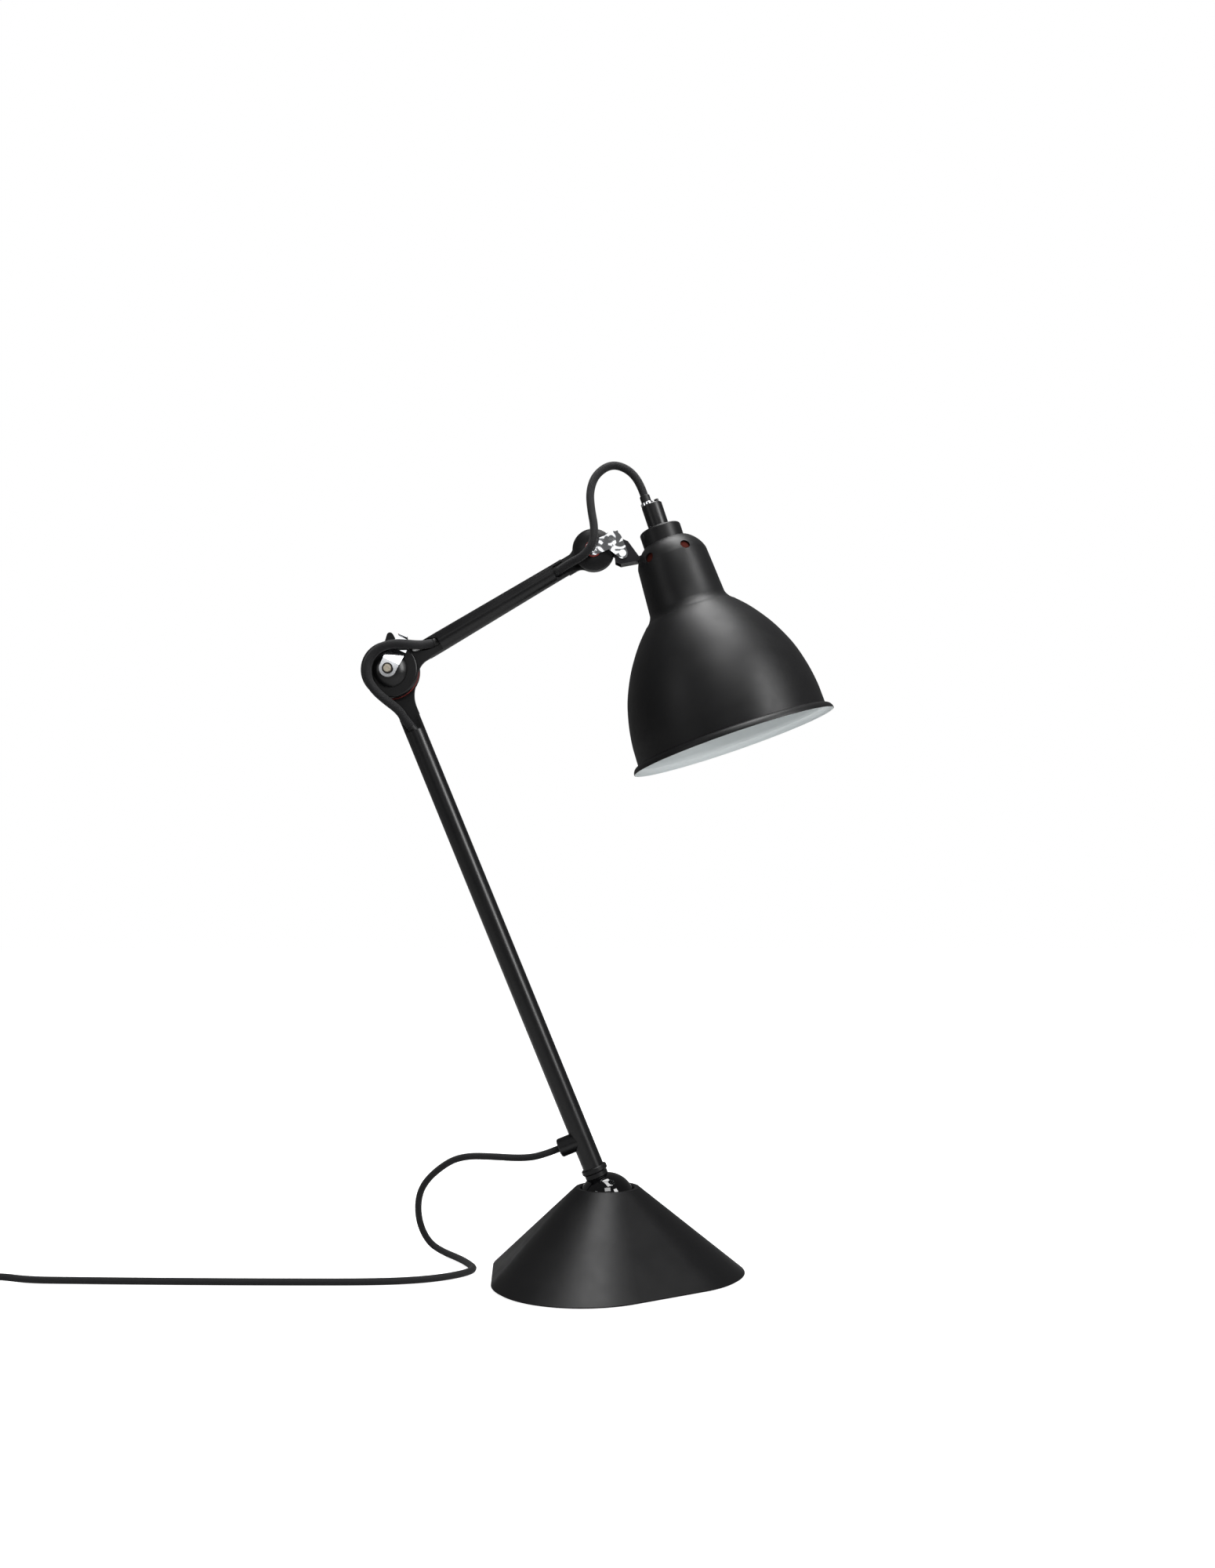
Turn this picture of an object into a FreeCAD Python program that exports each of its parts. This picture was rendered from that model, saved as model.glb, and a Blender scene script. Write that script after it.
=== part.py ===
import FreeCAD, Part
import math
import os

os.makedirs("parts", exist_ok=True)

# Two-arm jointed table lamp. Millimetres and degrees.
# Origin on the floor under the centre of the base's ball. +X points from the stem towards the
# shade, +Y away from the viewer, +Z up. Both arms lie in the plane Y = 0.

# How the lamp stands.
stem_lean = 22.24  # stem from the vertical, towards -X
arm_rise = 30.74  # upper arm above the horizontal
shade_lean = 18.6  # shade's axis from the vertical, its top towards -X

# Fits.
running_gap = 0.06  # radial clearance of a turning or sliding fit
seat_gap = 0.3  # clearance between faces that move past each other
drop_in_gap = 0.4  # around pieces that are dropped in and screwed down
spigot_draft = 0.2  # a stub inside a tube is this much slimmer at its end
through = 200.0  # longer than any cut or hole needs

# Base.
base_height = 58.35
base_top_radius = 21.4
base_corner_offset = 31.1  # from the axis to the centre of each rounded corner
base_corner_radius = 61.2
base_turn = 4.35  # first corner's direction, from +X
base_top_offset = 0.1  # the top is all but round
base_wall = 4.0  # measured along the floor
base_lid = 3.7
base_mouth_radius = 18.0
mouth_rounding = 1.2
pad_thickness = 1.2
pad_inset = 2.0
weight_thickness = 13.0
boss_radius = 5.0
boss_circle = 58.0  # from the axis to each screw boss
base_screw_radius = 2.0
base_screw_head_radius = 4.0
base_screw_bite = 7.0  # length of thread in the boss

# Ball socket.
ball_radius = 19.0
ball_below_top = 9.25  # ball's centre below the top of the base
housing_bore = 24.2
housing_wall = 2.3
housing_floor = 3.0
housing_flange_radius = 33.0
housing_below_ball = 2.1
housing_screw_radius = 1.5
housing_screw_length = 9.0
cup_depth = 16.1  # the seat's underside below the ball's centre
cup_rim_drop = 2.7
spring_thickness = 1.2
spring_cone = 1.6  # height of each cupped disc beyond its thickness
spring_bore = 12.0
pressure_disc_thickness = 2.5
tension_thread_radius = 6.0
tension_key_radius = 2.6
retainer_foot_radius = 24.9
retainer_foot_height = 2.2
retainer_radius = 20.8

# Stem.
stem_length = 382.9  # ball centre to elbow axis
stem_foot_radius = 7.15
stem_top_radius = 6.9
stem_bore = 5.4
collar_radius = 8.7
collar_height = 5.2
stud_radius = 4.5
stud_length = 13.0
spigot_length = 12.0
outlet_height = 44.4  # ball centre to the side outlet, along the stem
outlet_radius = 6.4
outlet_reach = 16.4
outlet_rounding = 0.8

# Upper arm.
arm_length = 157.9  # elbow axis to head axis
arm_foot_radius = 6.7
arm_top_radius = 5.95
arm_wall = 1.4

# Elbow.
elbow_disc_radius = 18.9
elbow_disc_thickness = 6.7
elbow_rounding = 1.2
dome_radius = 11.7
dome_height = 4.0
dome_flat_radius = 3.2
groove_width = 0.9
groove_depth = 0.8
plate_thickness = 2.9
neck_fillet = 9.0
stem_neck_fillet = 20.0  # on the side away from the cord
arm_neck_fillet = 12.0
stem_end_gap = 43.8  # elbow axis to the end of the stem tube
arm_end_gap = 38.2  # elbow axis to the lower end of the arm tube
cheek_length = 10.5  # half-round lips past each tube's end
washer_thickness = 0.9
washer_proud = 0.2
elbow_bolt_radius = 2.5
bolt_head_radius = 3.6
bolt_head_height = 1.8
bolt_slot = 0.9
clip_thickness = 0.8
clip_width = 11.5
clip_angle = 65.0
clip_end_width = 6.4
clip_hook = 6.0
clip_edge = 4.0  # the hook past the disc's edge
clip_flat = 5.2  # level part of the leaf, from the bolt's middle
clip_foot = 1.5  # where the leaf meets the disc, past the dome's groove
nut_radius = 4.6
nut_height = 3.2
lever_thickness = 2.2
lever_hub_radius = 12.0
lever_tip_radius = 2.2
lever_reach = 25.9
lever_angle = 95.5

# Cord boots at the tube ends.
boot_radius = 3.4
top_boot_radius = 3.1
boot_nose = 4.6
boot_tilt = 20.0  # towards the viewer
stem_boot_lift = 18.0  # in the plane of the arms, towards the cord
arm_boot_lift = -16.0

# Head joint.
head_disc_radius = 14.0
head_disc_half = 4.6  # half its thickness
head_disc_edge = 3.4  # half its thickness at the edge
head_disc_flat = 5.5
head_rounding = 1.0
head_end_gap = 31.0  # head axis to the upper end of the arm tube
head_cheek_length = 9.0
head_neck_back = 0.8  # front of the neck behind the plane of the arms
head_lip_level = 1.2
head_neck_fillet = 7.0
head_washer_thickness = 0.8
stirrup_thickness = 1.2
stirrup_width = 9.6
stirrup_angle = 22.0
stirrup_clear = 1.7  # disc's edge to the stirrup's bridge
stirrup_fold = 2.6  # the bridge's folded tab
head_bolt_radius = 2.2
head_bolt_head_radius = 3.0
rivet_radius = 1.6
rivet_head_radius = 2.3
rivet_place = (19.7, -3.5)  # from the head axis, in the side view
lobe_reach = (6.5, 8.5)  # from the middle of the lobe's wide end to the rivet, right and down
bracket_wall = 1.3
bracket_half = 5.4

# Shade.
pivot_above_rim = 151.65  # head axis above the rim's plane, along the shade's axis
pivot_beside_axis = 48.04  # head axis from the shade's axis
shade_rim_radius = 65.8
lip_width = 4.4
lip_height = 4.6
shade_wall = 1.0
throat_height = 90.2
throat_radius = 31.6
dome_swell = (0.982, 0.886, 0.690, 0.365)  # width beyond the throat's, at even steps of height
dome_step = 18.9
neck_height = 97.6
neck_radius = 26.3
shoulder_height = 129.1
shoulder_radius = 24.1
shade_top = 141.0
shade_top_radius = 15.4
vent_radius = 3.25
vent_count = 5
vent_step = 66.0
vent_drop = 10.4  # below the shade's top
cap_radius = 14.1
cap_height = 10.3
cap_shift = -1.5  # from the shade's axis
cap_rounding = 1.6
gland_radius = 6.95
gland_height = 17.0
gland_chamfer = 0.7
gland_ring_radius = 4.3
gland_ring_height = 2.2
gland_ring_shift = -2.6
clamp_nub_radius = 1.5
clamp_nub_height = 2.4
head_boot_radius = 3.4
head_boot_length = 7.0
nipple_radius = 5.0
nipple_bore = 3.6
bracket_ring_radius = 13.6
bracket_ring_thickness = 2.0
bracket_arm_height = 3.0
bracket_arm_half = 4.4
bracket_arm_drop = 6.6  # below the shade's top
holder_radius = 13.9
holder_wall = 1.3
holder_bottom = 86.0
holder_neck_radius = 7.6
bulb_cap_radius = 6.95
bulb_cap_length = 24.0
bulb_radius = 22.5
bulb_centre = 50.0
bulb_wall = 0.9

# Cords.
mains_diameter = 4.6
elbow_cord_diameter = 5.9
head_cord_diameter = 5.4
floor_clearance = 0.05
turn_gap = 0.7  # between neighbouring turns of the coil, sideways and upwards
coil_radius = 35.0  # outermost turn
coil_turns = 3  # in each of the two layers
coil_lead_in = 31.0  # from the switch to the coil's first turn
coil_tail = 20.0  # from the coil's last turn to the plug's boot

# Switch and plug on the cord.
switch_end = (-410.0, -24.6)  # where the cord from the lamp goes in
switch_length = 54.0
switch_width = 22.0
switch_height = 16.0
switch_wall = 1.8
switch_entry = 4.5  # height of the cord and of the split between the halves
switch_corner = 5.0
rocker_length = 17.0
rocker_width = 9.0
rocker_rise = 1.8
rocker_depth = 4.0
rocker_play = 0.6
rocker_pin_radius = 1.2
plug_width = 35.0
plug_length = 34.0
plug_corner = 8.0
plug_rounding = 2.0
plug_boot_length = 20.0
plug_boot_radius = 4.6
pin_radius = 2.0
pin_length = 19.0
pin_root = 9.0
pin_root_radius = 1.6
pin_rounding = 1.0
pin_spacing = 18.6


def vec(x, y, z=0.0):
    return FreeCAD.Vector(x, y, z)


def direction(angle):
    """Unit vector in the plane of the arms, at an angle above +X."""
    return vec(math.cos(math.radians(angle)), 0, math.sin(math.radians(angle)))


# Points and directions that everything else hangs on.
up = vec(0, 0, 1)
ball_height = base_height - ball_below_top
ball_centre = vec(0, 0, ball_height)
stem_axis = direction(90 + stem_lean)
elbow = ball_centre + stem_axis * stem_length
arm_axis = direction(arm_rise)
head = elbow + arm_axis * arm_length
shade_axis = direction(90 + shade_lean)
shade_side = direction(shade_lean)
rim = head + shade_side * pivot_beside_axis - shade_axis * pivot_above_rim


def save(name, *solids):
    shape = solids[0] if len(solids) == 1 else Part.makeCompound(list(solids))
    shape.exportStep("parts/" + name + ".step")
    print(f"{name}: {len(shape.Solids)} solids, {shape.Volume / 1000:.2f} cm3, valid {shape.isValid()}")


def placed(shape, origin, z_axis, x_axis):
    turned = FreeCAD.Rotation(x_axis, vec(0, 0), z_axis, "ZXY")
    return shape.transformed(FreeCAD.Placement(origin, turned).toMatrix())


def along_stem(shape):
    """Built on +Z with its foot at the ball's centre, +X towards the cord outlet's far side."""
    return placed(shape, ball_centre, stem_axis, direction(stem_lean))


def side_view(shape, pivot):
    """Built as seen from the front: x right, y up, z towards the viewer, origin on the pivot."""
    return placed(shape, pivot, vec(0, -1), vec(1, 0))


def on_shade(shape):
    """Built on +Z from the rim's plane, +X away from the arm."""
    return placed(shape, rim, shade_axis, shade_side)


def edges_of(start, *steps):
    """Edges from start on: a step of one point is a line, and of two points an arc's middle and end."""
    edges = []
    here = start
    for step in steps:
        if isinstance(step, tuple):
            edges.append(Part.Arc(here, step[0], step[1]).toShape())
            here = step[1]
        else:
            edges.append(Part.LineSegment(here, step).toShape())
            here = step
    return edges


def lathe(edges):
    """Solid of revolution about Z of a closed outline in the X-Z plane."""
    face = Part.Face(Part.Wire(edges))
    return face.revolve(vec(0, 0), up, 360)


def profile(*points):
    """Closed outline of (radius, height) points joined by lines."""
    corners = [vec(r, 0, h) for r, h in points]
    return edges_of(corners[0], *corners[1:], corners[0])


def tube(outer, inner, low, high):
    return Part.makeCylinder(outer, high - low, vec(0, 0, low)).cut(
        Part.makeCylinder(inner, high - low + 2, vec(0, 0, low - 1))
    )


def plate(edges, low, high):
    """Outline in the X-Y plane raised from low to high."""
    face = Part.Face(Part.Wire(edges))
    solid = face.extrude(vec(0, 0, high - low))
    solid.translate(vec(0, 0, low))
    return solid


def block(x0, x1, y0, y1, z0, z1):
    return Part.makeBox(x1 - x0, y1 - y0, z1 - z0, vec(x0, y0, z0))


def circle_edges(solid, radius, height):
    """The solid's circular edges of one radius at one height."""
    found = []
    for edge in solid.Edges:
        curve = edge.Curve
        if isinstance(curve, Part.Circle) and abs(curve.Radius - radius) < 0.01:
            if abs(curve.Center.z - height) < 0.01:
                found.append(edge)
    return found


# Base.
def rounded_triangle(offset, radius, level):
    """Three corner arcs joined by three flats, as a wire at one height."""
    edges = []
    for k in range(3):
        middle = base_turn + 120 * k
        centre = vec(offset, 0, level)
        arc = [centre + vec(radius * math.cos(math.radians(a)), radius * math.sin(math.radians(a)))
               for a in (-60, 0, 60)]
        turn = FreeCAD.Rotation(up, middle)
        edges.append(Part.Arc(*[turn.multVec(p) for p in arc]).toShape())
        flat_from = turn.multVec(arc[2])
        flat_to = FreeCAD.Rotation(up, middle + 120).multVec(arc[0])
        edges.append(Part.LineSegment(flat_from, flat_to).toShape())
    return Part.Wire(edges)


def base_section(level, inset):
    """The base's outline at a height, drawn in by an inset."""
    share = (level - pad_thickness) / (base_height - pad_thickness)
    offset = base_corner_offset + share * (base_top_offset - base_corner_offset)
    foot_radius = base_corner_radius
    radius = foot_radius + share * (base_top_radius - base_top_offset / 2 - foot_radius)
    return rounded_triangle(offset, radius - inset, level)


def base_loft(low, high, inset):
    return Part.makeLoft([base_section(low, inset), base_section(high, inset)], True, True)


weight_top = pad_thickness + weight_thickness
cavity_top = base_height - base_lid
housing_top = ball_height - housing_below_ball
cup_bottom = ball_height - cup_depth
cup_top = ball_height - cup_rim_drop
boss_spots = [FreeCAD.Rotation(up, base_turn + 120 * k).multVec(vec(boss_circle, 0)) for k in range(3)]
housing_outer = housing_bore + housing_wall


def make_base_shell():
    outer = base_loft(pad_thickness, base_height, 0)
    cavity = base_loft(pad_thickness, cavity_top, base_wall)
    shell = outer.cut(cavity)
    for spot in boss_spots:
        boss = Part.makeCylinder(boss_radius, base_height, spot + up * weight_top)
        shell = shell.fuse(boss.common(outer))
    mouth = Part.makeCylinder(base_mouth_radius, base_lid * 2, vec(0, 0, cavity_top - 1))
    ball_room = Part.makeSphere(ball_radius + seat_gap, ball_centre)
    shell = shell.cut(mouth).cut(ball_room).removeSplitter()
    for spot in boss_spots:
        hole = Part.makeCylinder(base_screw_radius, base_screw_bite + 0.5, spot + up * weight_top)
        shell = shell.cut(hole)
    shell = shell.makeFillet(mouth_rounding, circle_edges(shell, base_mouth_radius, base_height))
    return shell


def countersunk_screw(radius, head_radius, length, spot, level):
    """Countersunk screw put in from below, with its head flush at the given level."""
    head_height = head_radius - radius
    outline = profile((0, 0), (head_radius, 0), (radius, head_height), (radius, length), (0, length))
    slot = block(-head_radius, head_radius, -0.5, 0.5, -1, head_height * 0.6)
    screw = lathe(outline).cut(slot)
    screw.translate(spot + up * level)
    return screw


def make_base_weight():
    weight = base_loft(pad_thickness, weight_top, base_wall + drop_in_gap)
    bore = Part.makeCylinder(tension_thread_radius + 5, base_height, vec(0, 0, 0))
    weight = weight.cut(bore)
    for spot in boss_spots:
        head_height = base_screw_head_radius - base_screw_radius
        sink = Part.makeCone(base_screw_head_radius + 0.1, base_screw_radius + 0.1, head_height,
                             spot + up * pad_thickness)
        hole = Part.makeCylinder(base_screw_radius + 0.1, base_height, spot)
        weight = weight.cut(sink).cut(hole)
    for spot in housing_screw_spots():
        depth = housing_screw_length - housing_floor + 0.5
        weight = weight.cut(Part.makeCylinder(housing_screw_radius, depth, spot + up * (weight_top - depth)))
    return weight


def housing_screw_spots():
    circle = (housing_outer + housing_flange_radius) / 2
    return [FreeCAD.Rotation(up, base_turn + 60 + 120 * k).multVec(vec(circle, 0)) for k in range(3)]


def make_housing():
    """Turned cup, screwed to the weight, that carries the swivelling seat."""
    floor_top = weight_top + housing_floor
    housing = lathe(profile(
        (tension_thread_radius, weight_top),
        (housing_flange_radius, weight_top),
        (housing_flange_radius, floor_top),
        (housing_outer, floor_top),
        (housing_outer, housing_top),
        (housing_bore, housing_top),
        (housing_bore, floor_top),
        (tension_thread_radius, floor_top),
    ))
    for spot in housing_screw_spots():
        housing = housing.cut(Part.makeCylinder(housing_screw_radius + 0.1, base_height, spot))
    return housing


def make_housing_screws():
    screws = []
    head_height = 1.6
    floor_top = weight_top + housing_floor
    for spot in housing_screw_spots():
        shank = Part.makeCylinder(housing_screw_radius, housing_screw_length,
                                  spot + up * (floor_top - housing_screw_length))
        head_disc = Part.makeCylinder(housing_screw_radius * 1.8, head_height, spot + up * floor_top)
        slot = block(-5, 5, -0.4, 0.4, floor_top + head_height * 0.5, floor_top + 5)
        slot.translate(spot)
        screws.append(shank.fuse(head_disc).cut(slot).removeSplitter())
    return screws


seat_radius = ball_radius + running_gap
disc_top = cup_bottom - 2 * (spring_thickness + spring_cone) - seat_gap


def make_socket_cup():
    """The seat that the ball tilts in. It swivels in the housing."""
    body = Part.makeCylinder(housing_bore - running_gap, cup_top - cup_bottom, vec(0, 0, cup_bottom))
    return body.cut(Part.makeSphere(seat_radius, ball_centre))


def make_springs():
    """Two cupped spring discs, back to back, that press the seat against the ball."""
    outer = housing_bore - 1.5
    middle = disc_top + spring_thickness + spring_cone
    discs = []
    for low, way in ((disc_top, 1), (middle, -1)):
        inner_low = low + spring_cone * (way > 0)
        outer_low = low + spring_cone * (way < 0)
        discs.append(lathe(profile(
            (spring_bore, inner_low),
            (outer, outer_low),
            (outer, outer_low + spring_thickness),
            (spring_bore, inner_low + spring_thickness),
        )))
    return discs


def make_tension_screw():
    """Pressure disc on a threaded shank, turned with a key from below."""
    bottom = pad_thickness + 1
    disc = Part.makeCylinder(housing_bore - running_gap, pressure_disc_thickness,
                             vec(0, 0, disc_top - pressure_disc_thickness))
    shank = Part.makeCylinder(tension_thread_radius, disc_top - bottom, vec(0, 0, bottom))
    key = Part.makePolygon([vec(tension_key_radius * math.cos(math.radians(60 * k)),
                                tension_key_radius * math.sin(math.radians(60 * k)), bottom)
                            for k in range(7)])
    key_hole = Part.Face(key).extrude(vec(0, 0, 6))
    return disc.fuse(shank).removeSplitter().cut(key_hole)


def make_retainer():
    """Stepped ring over the ball's widest part. The base's lid holds it down."""
    foot_top = housing_top + retainer_foot_height
    ring = lathe(profile(
        (seat_radius - 6, housing_top),
        (retainer_foot_radius, housing_top),
        (retainer_foot_radius, foot_top),
        (retainer_radius, foot_top),
        (retainer_radius, cavity_top),
        (seat_radius - 6, cavity_top),
    ))
    ring = ring.cut(Part.makeSphere(seat_radius, ball_centre))
    way_up = Part.makeCylinder(seat_radius, ball_height - housing_top + 1, vec(0, 0, housing_top - 1))
    return ring.cut(way_up)


save("base_shell", make_base_shell())
save("base_weight", make_base_weight())
save("base_pad", Part.Face(rounded_triangle(base_corner_offset, base_corner_radius - pad_inset, 0)).extrude(
    vec(0, 0, pad_thickness)))
save("base_screws", *[countersunk_screw(base_screw_radius, base_screw_head_radius,
                                        weight_thickness + base_screw_bite, spot, pad_thickness)
                      for spot in boss_spots])
save("socket_housing", make_housing())
save("housing_screws", *make_housing_screws())
save("socket_cup", make_socket_cup())
save("socket_springs", *make_springs())
save("tension_screw", make_tension_screw())
save("ball_retainer", make_retainer())


# Ball and stem.
collar_low = ball_radius + seat_gap
collar_top = collar_low + collar_height
stem_tube_end = stem_length - stem_end_gap


def make_ball():
    ball = Part.makeSphere(ball_radius)
    depth = stud_length + 0.5
    bore = Part.makeCylinder(stud_radius + running_gap, depth + 5, vec(0, 0, ball_radius - depth))
    return along_stem(ball.cut(bore))


def make_collar():
    """Foot of the stem: skirt over the ball, stud into it, spigot up into the tube."""
    skirt = 1.0
    collar = lathe(profile(
        (0, ball_radius - stud_length),
        (stud_radius, ball_radius - stud_length),
        (stud_radius, ball_radius - 4),
        (collar_radius - skirt, ball_radius - 4),
        (collar_radius - skirt, collar_low + 1.2),
        (collar_radius, collar_low + 2.2),
        (collar_radius, collar_top - 0.6),
        (collar_radius - 0.6, collar_top),
        (stem_bore, collar_top),
        (stem_bore, collar_top + spigot_length),
        (0, collar_top + spigot_length),
    ))
    ball_room = Part.makeSphere(ball_radius + seat_gap)
    stud = Part.makeCylinder(stud_radius, stud_length + 3, vec(0, 0, ball_radius - stud_length))
    return along_stem(collar.cut(ball_room).fuse(stud).removeSplitter())


def outlet_frame(shape):
    """Built on +Z from the stem's axis outwards, at the height of the side outlet."""
    centre = ball_centre + stem_axis * outlet_height
    return placed(shape, centre, outlet_way, stem_axis)


outlet_way = direction(180 + stem_lean)  # square to the stem, towards -X


def make_stem_tube():
    length = stem_tube_end - collar_top
    outer = Part.makeCone(stem_foot_radius, stem_top_radius, length, vec(0, 0, collar_top))
    tube_shape = outer.cut(Part.makeCylinder(stem_bore, length + 2, vec(0, 0, collar_top - 1)))
    hole = outlet_frame(Part.makeCylinder(outlet_bore, stem_foot_radius + 2))
    return along_stem(tube_shape).cut(hole)


outlet_bore = mains_diameter / 2 + 1.0


def make_outlet():
    """Side boss that the mains lead leaves the stem by."""
    boss = Part.makeCylinder(outlet_radius, outlet_reach)
    boss = boss.makeChamfer(outlet_rounding, circle_edges(boss, outlet_radius, outlet_reach))
    boss = outlet_frame(boss)
    stem_room = Part.makeCone(stem_foot_radius, stem_top_radius, stem_tube_end - collar_top,
                              vec(0, 0, collar_top))
    bore = outlet_frame(Part.makeCylinder(outlet_bore, outlet_reach + 2))
    return boss.cut(along_stem(stem_room)).cut(bore)


def make_outlet_bush():
    """Rubber bush in the outlet. The lead meets its outer face."""
    inner_end = mains_diameter / 2 + seat_gap
    return outlet_frame(Part.makeCylinder(outlet_bore, outlet_reach - inner_end, vec(0, 0, inner_end)))


save("ball", make_ball())
save("stem_collar", make_collar())
save("stem_tube", make_stem_tube())
save("cord_outlet", make_outlet())
save("outlet_bush", make_outlet_bush())


# Elbow and head knuckles.
def neck_outline(disc_radius, half_width, length, fillets):
    """Disc that runs out through two fillets, for the +Y and -Y sides, into a straight neck along +X."""
    sides = []
    for way, fillet in zip((1, -1), fillets):
        reach = math.sqrt((disc_radius + fillet) ** 2 - (half_width + fillet) ** 2)
        centre = vec(reach, (half_width + fillet) * way)
        on_disc = centre * (disc_radius / (disc_radius + fillet))
        on_neck = vec(reach, half_width * way)
        halfway = centre + ((on_disc - centre) + (on_neck - centre)).normalize() * fillet
        sides.append((on_disc, halfway, on_neck))
    (left_disc, left_halfway, left_neck), (right_disc, right_halfway, right_neck) = sides
    return edges_of(
        vec(length, -half_width),
        vec(length, half_width),
        left_neck,
        (left_halfway, left_disc),
        (vec(-disc_radius, 0), right_disc),
        (right_halfway, right_neck),
        vec(length, -half_width),
    )


def cheeks(tube_radius, bore, start, end, keep_from, keep_to):
    """Half-round lips that carry a tube's wall on towards the joint, open on the cord's side."""
    lips = Part.makeCylinder(tube_radius, end - start, vec(start, 0), vec(1, 0))
    lips = lips.cut(Part.makeCylinder(bore, end - start + 2, vec(start - 1, 0), vec(1, 0)))
    return lips.common(block(start - 1, end + 1, -tube_radius, tube_radius, keep_from, keep_to))


def spigot(bore, hole, start, length):
    """Stub inside the tube's end, with the cord's way through it."""
    stub = Part.makeCone(bore, bore - spigot_draft, length, vec(start, 0), vec(1, 0))
    return stub.cut(Part.makeCylinder(hole, length + 2, vec(start - 1, 0), vec(1, 0)))


def tilted_nose(radius, length, end_gap, lift):
    """Round-heeled cylinder from a tube's end towards the joint, tilted towards the viewer and the cord."""
    nose = Part.makeCylinder(radius, length, vec(0, 0), vec(-1, 0)).fuse(Part.makeSphere(radius))
    turn = FreeCAD.Rotation(up, lift).multiply(FreeCAD.Rotation(vec(0, 1), boot_tilt))
    return nose.transformed(FreeCAD.Placement(vec(end_gap, 0), turn).toMatrix())


def boot_shape(radius, end_gap, lift):
    """Rubber boot in a tube's end, its nose pointing past the joint."""
    body = Part.makeCylinder(radius, spigot_length, vec(end_gap, 0), vec(1, 0))
    return body.fuse(tilted_nose(radius, boot_nose, end_gap, lift)).removeSplitter()


def boot_room(radius, end_gap, lift, start):
    """What a boot and its cord need clear beyond the disc."""
    beyond = block(start, end_gap, -through, through, -through, through)
    return tilted_nose(radius, end_gap, end_gap, lift).common(beyond)


boot_hole = boot_radius + running_gap
stub_wall = 1.5


def turned(shape, angle):
    return shape.transformed(FreeCAD.Placement(vec(0, 0), FreeCAD.Rotation(up, angle)).toMatrix())


inner_face = washer_thickness / 2
outer_face = inner_face + elbow_disc_thickness
dome_top = outer_face + dome_height


def domed_disc(bolt_hole, inner, side):
    """Friction disc with a groove round its dome. side is 1 for the front disc, -1 for the rear."""
    round_mid = elbow_rounding * (1 - math.sqrt(0.5))
    swell = vec((dome_radius + dome_flat_radius) / 2 + 0.9, 0, outer_face + dome_height * 0.62)

    def at(r, h):
        return vec(r, 0, h * side)

    swell.z *= side
    edges = edges_of(
        at(bolt_hole, inner),
        at(elbow_disc_radius, inner),
        at(elbow_disc_radius, outer_face - elbow_rounding),
        (at(elbow_disc_radius - round_mid, outer_face - round_mid),
         at(elbow_disc_radius - elbow_rounding, outer_face)),
        at(dome_radius + groove_width, outer_face),
        at(dome_radius + groove_width, outer_face - groove_depth),
        at(dome_radius, outer_face - groove_depth),
        at(dome_radius, outer_face),
        (swell, at(dome_flat_radius, dome_top)),
        at(bolt_hole, dome_top),
        at(bolt_hole, inner),
    )
    return lathe(edges)


def elbow_knuckle(side, inner, tube_radius, bore, end_gap, fillets, lift, keep):
    """Disc, neck, open lips and spigot of one half of the elbow, with its tube along +X."""
    faces = sorted((inner * side, (inner + plate_thickness) * side))
    neck = plate(neck_outline(elbow_disc_radius, tube_radius, end_gap, fillets), *faces)
    neck = neck.cut(Part.makeCylinder(elbow_bore, through, vec(0, 0, -through / 2)))
    bounds = Part.makeCylinder(tube_radius, through, vec(elbow_disc_radius, 0), vec(1, 0))
    wide = block(-through, end_gap - cheek_length, -through, through, -through, through)
    neck = neck.common(bounds.fuse(wide))
    lips = cheeks(tube_radius, bore, end_gap - cheek_length, end_gap, *keep)
    stub = spigot(bore, boot_hole, end_gap, spigot_length)
    bridge = spigot(tube_radius, boot_hole, end_gap - stub_wall, stub_wall)
    bridge = bridge.common(block(0, through, -through, through, *keep))
    knuckle = domed_disc(elbow_bore, inner, side).fuse([neck, lips, stub, bridge])
    room = boot_room(boot_hole + seat_gap, end_gap, lift, elbow_disc_radius + 1)
    return knuckle.removeSplitter().cut(room).cut(boot_shape(boot_hole, end_gap, lift))


elbow_bore = elbow_bolt_radius + running_gap
arm_bore = arm_foot_radius - arm_wall
arm_top_bore = arm_top_radius - arm_wall
half_turn = 180
stem_way = stem_lean - 90  # the stem's direction as seen from the elbow
head_way = arm_rise + half_turn  # the arm's direction as seen from the head joint

stem_half = elbow_knuckle(-1, inner_face + seat_gap, stem_top_radius, stem_bore, stem_end_gap,
                          (stem_neck_fillet, neck_fillet), stem_boot_lift, (-through, stub_wall))
arm_half = elbow_knuckle(1, inner_face, arm_foot_radius, arm_bore, arm_end_gap,
                         (neck_fillet, arm_neck_fillet), arm_boot_lift,
                         (-through, inner_face + plate_thickness))
stem_boot = boot_shape(boot_radius, stem_end_gap, stem_boot_lift)
arm_boot = boot_shape(boot_radius, arm_end_gap, arm_boot_lift)
save("stem_knuckle", side_view(turned(stem_half, stem_way), elbow))
save("arm_knuckle", side_view(turned(arm_half, arm_rise), elbow))
save("stem_boot", side_view(turned(stem_boot, stem_way), elbow))
save("arm_boot", side_view(turned(arm_boot, arm_rise), elbow))
save("elbow_washer", side_view(
    tube(elbow_disc_radius + washer_proud, elbow_bore, -inner_face, inner_face), elbow))


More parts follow.
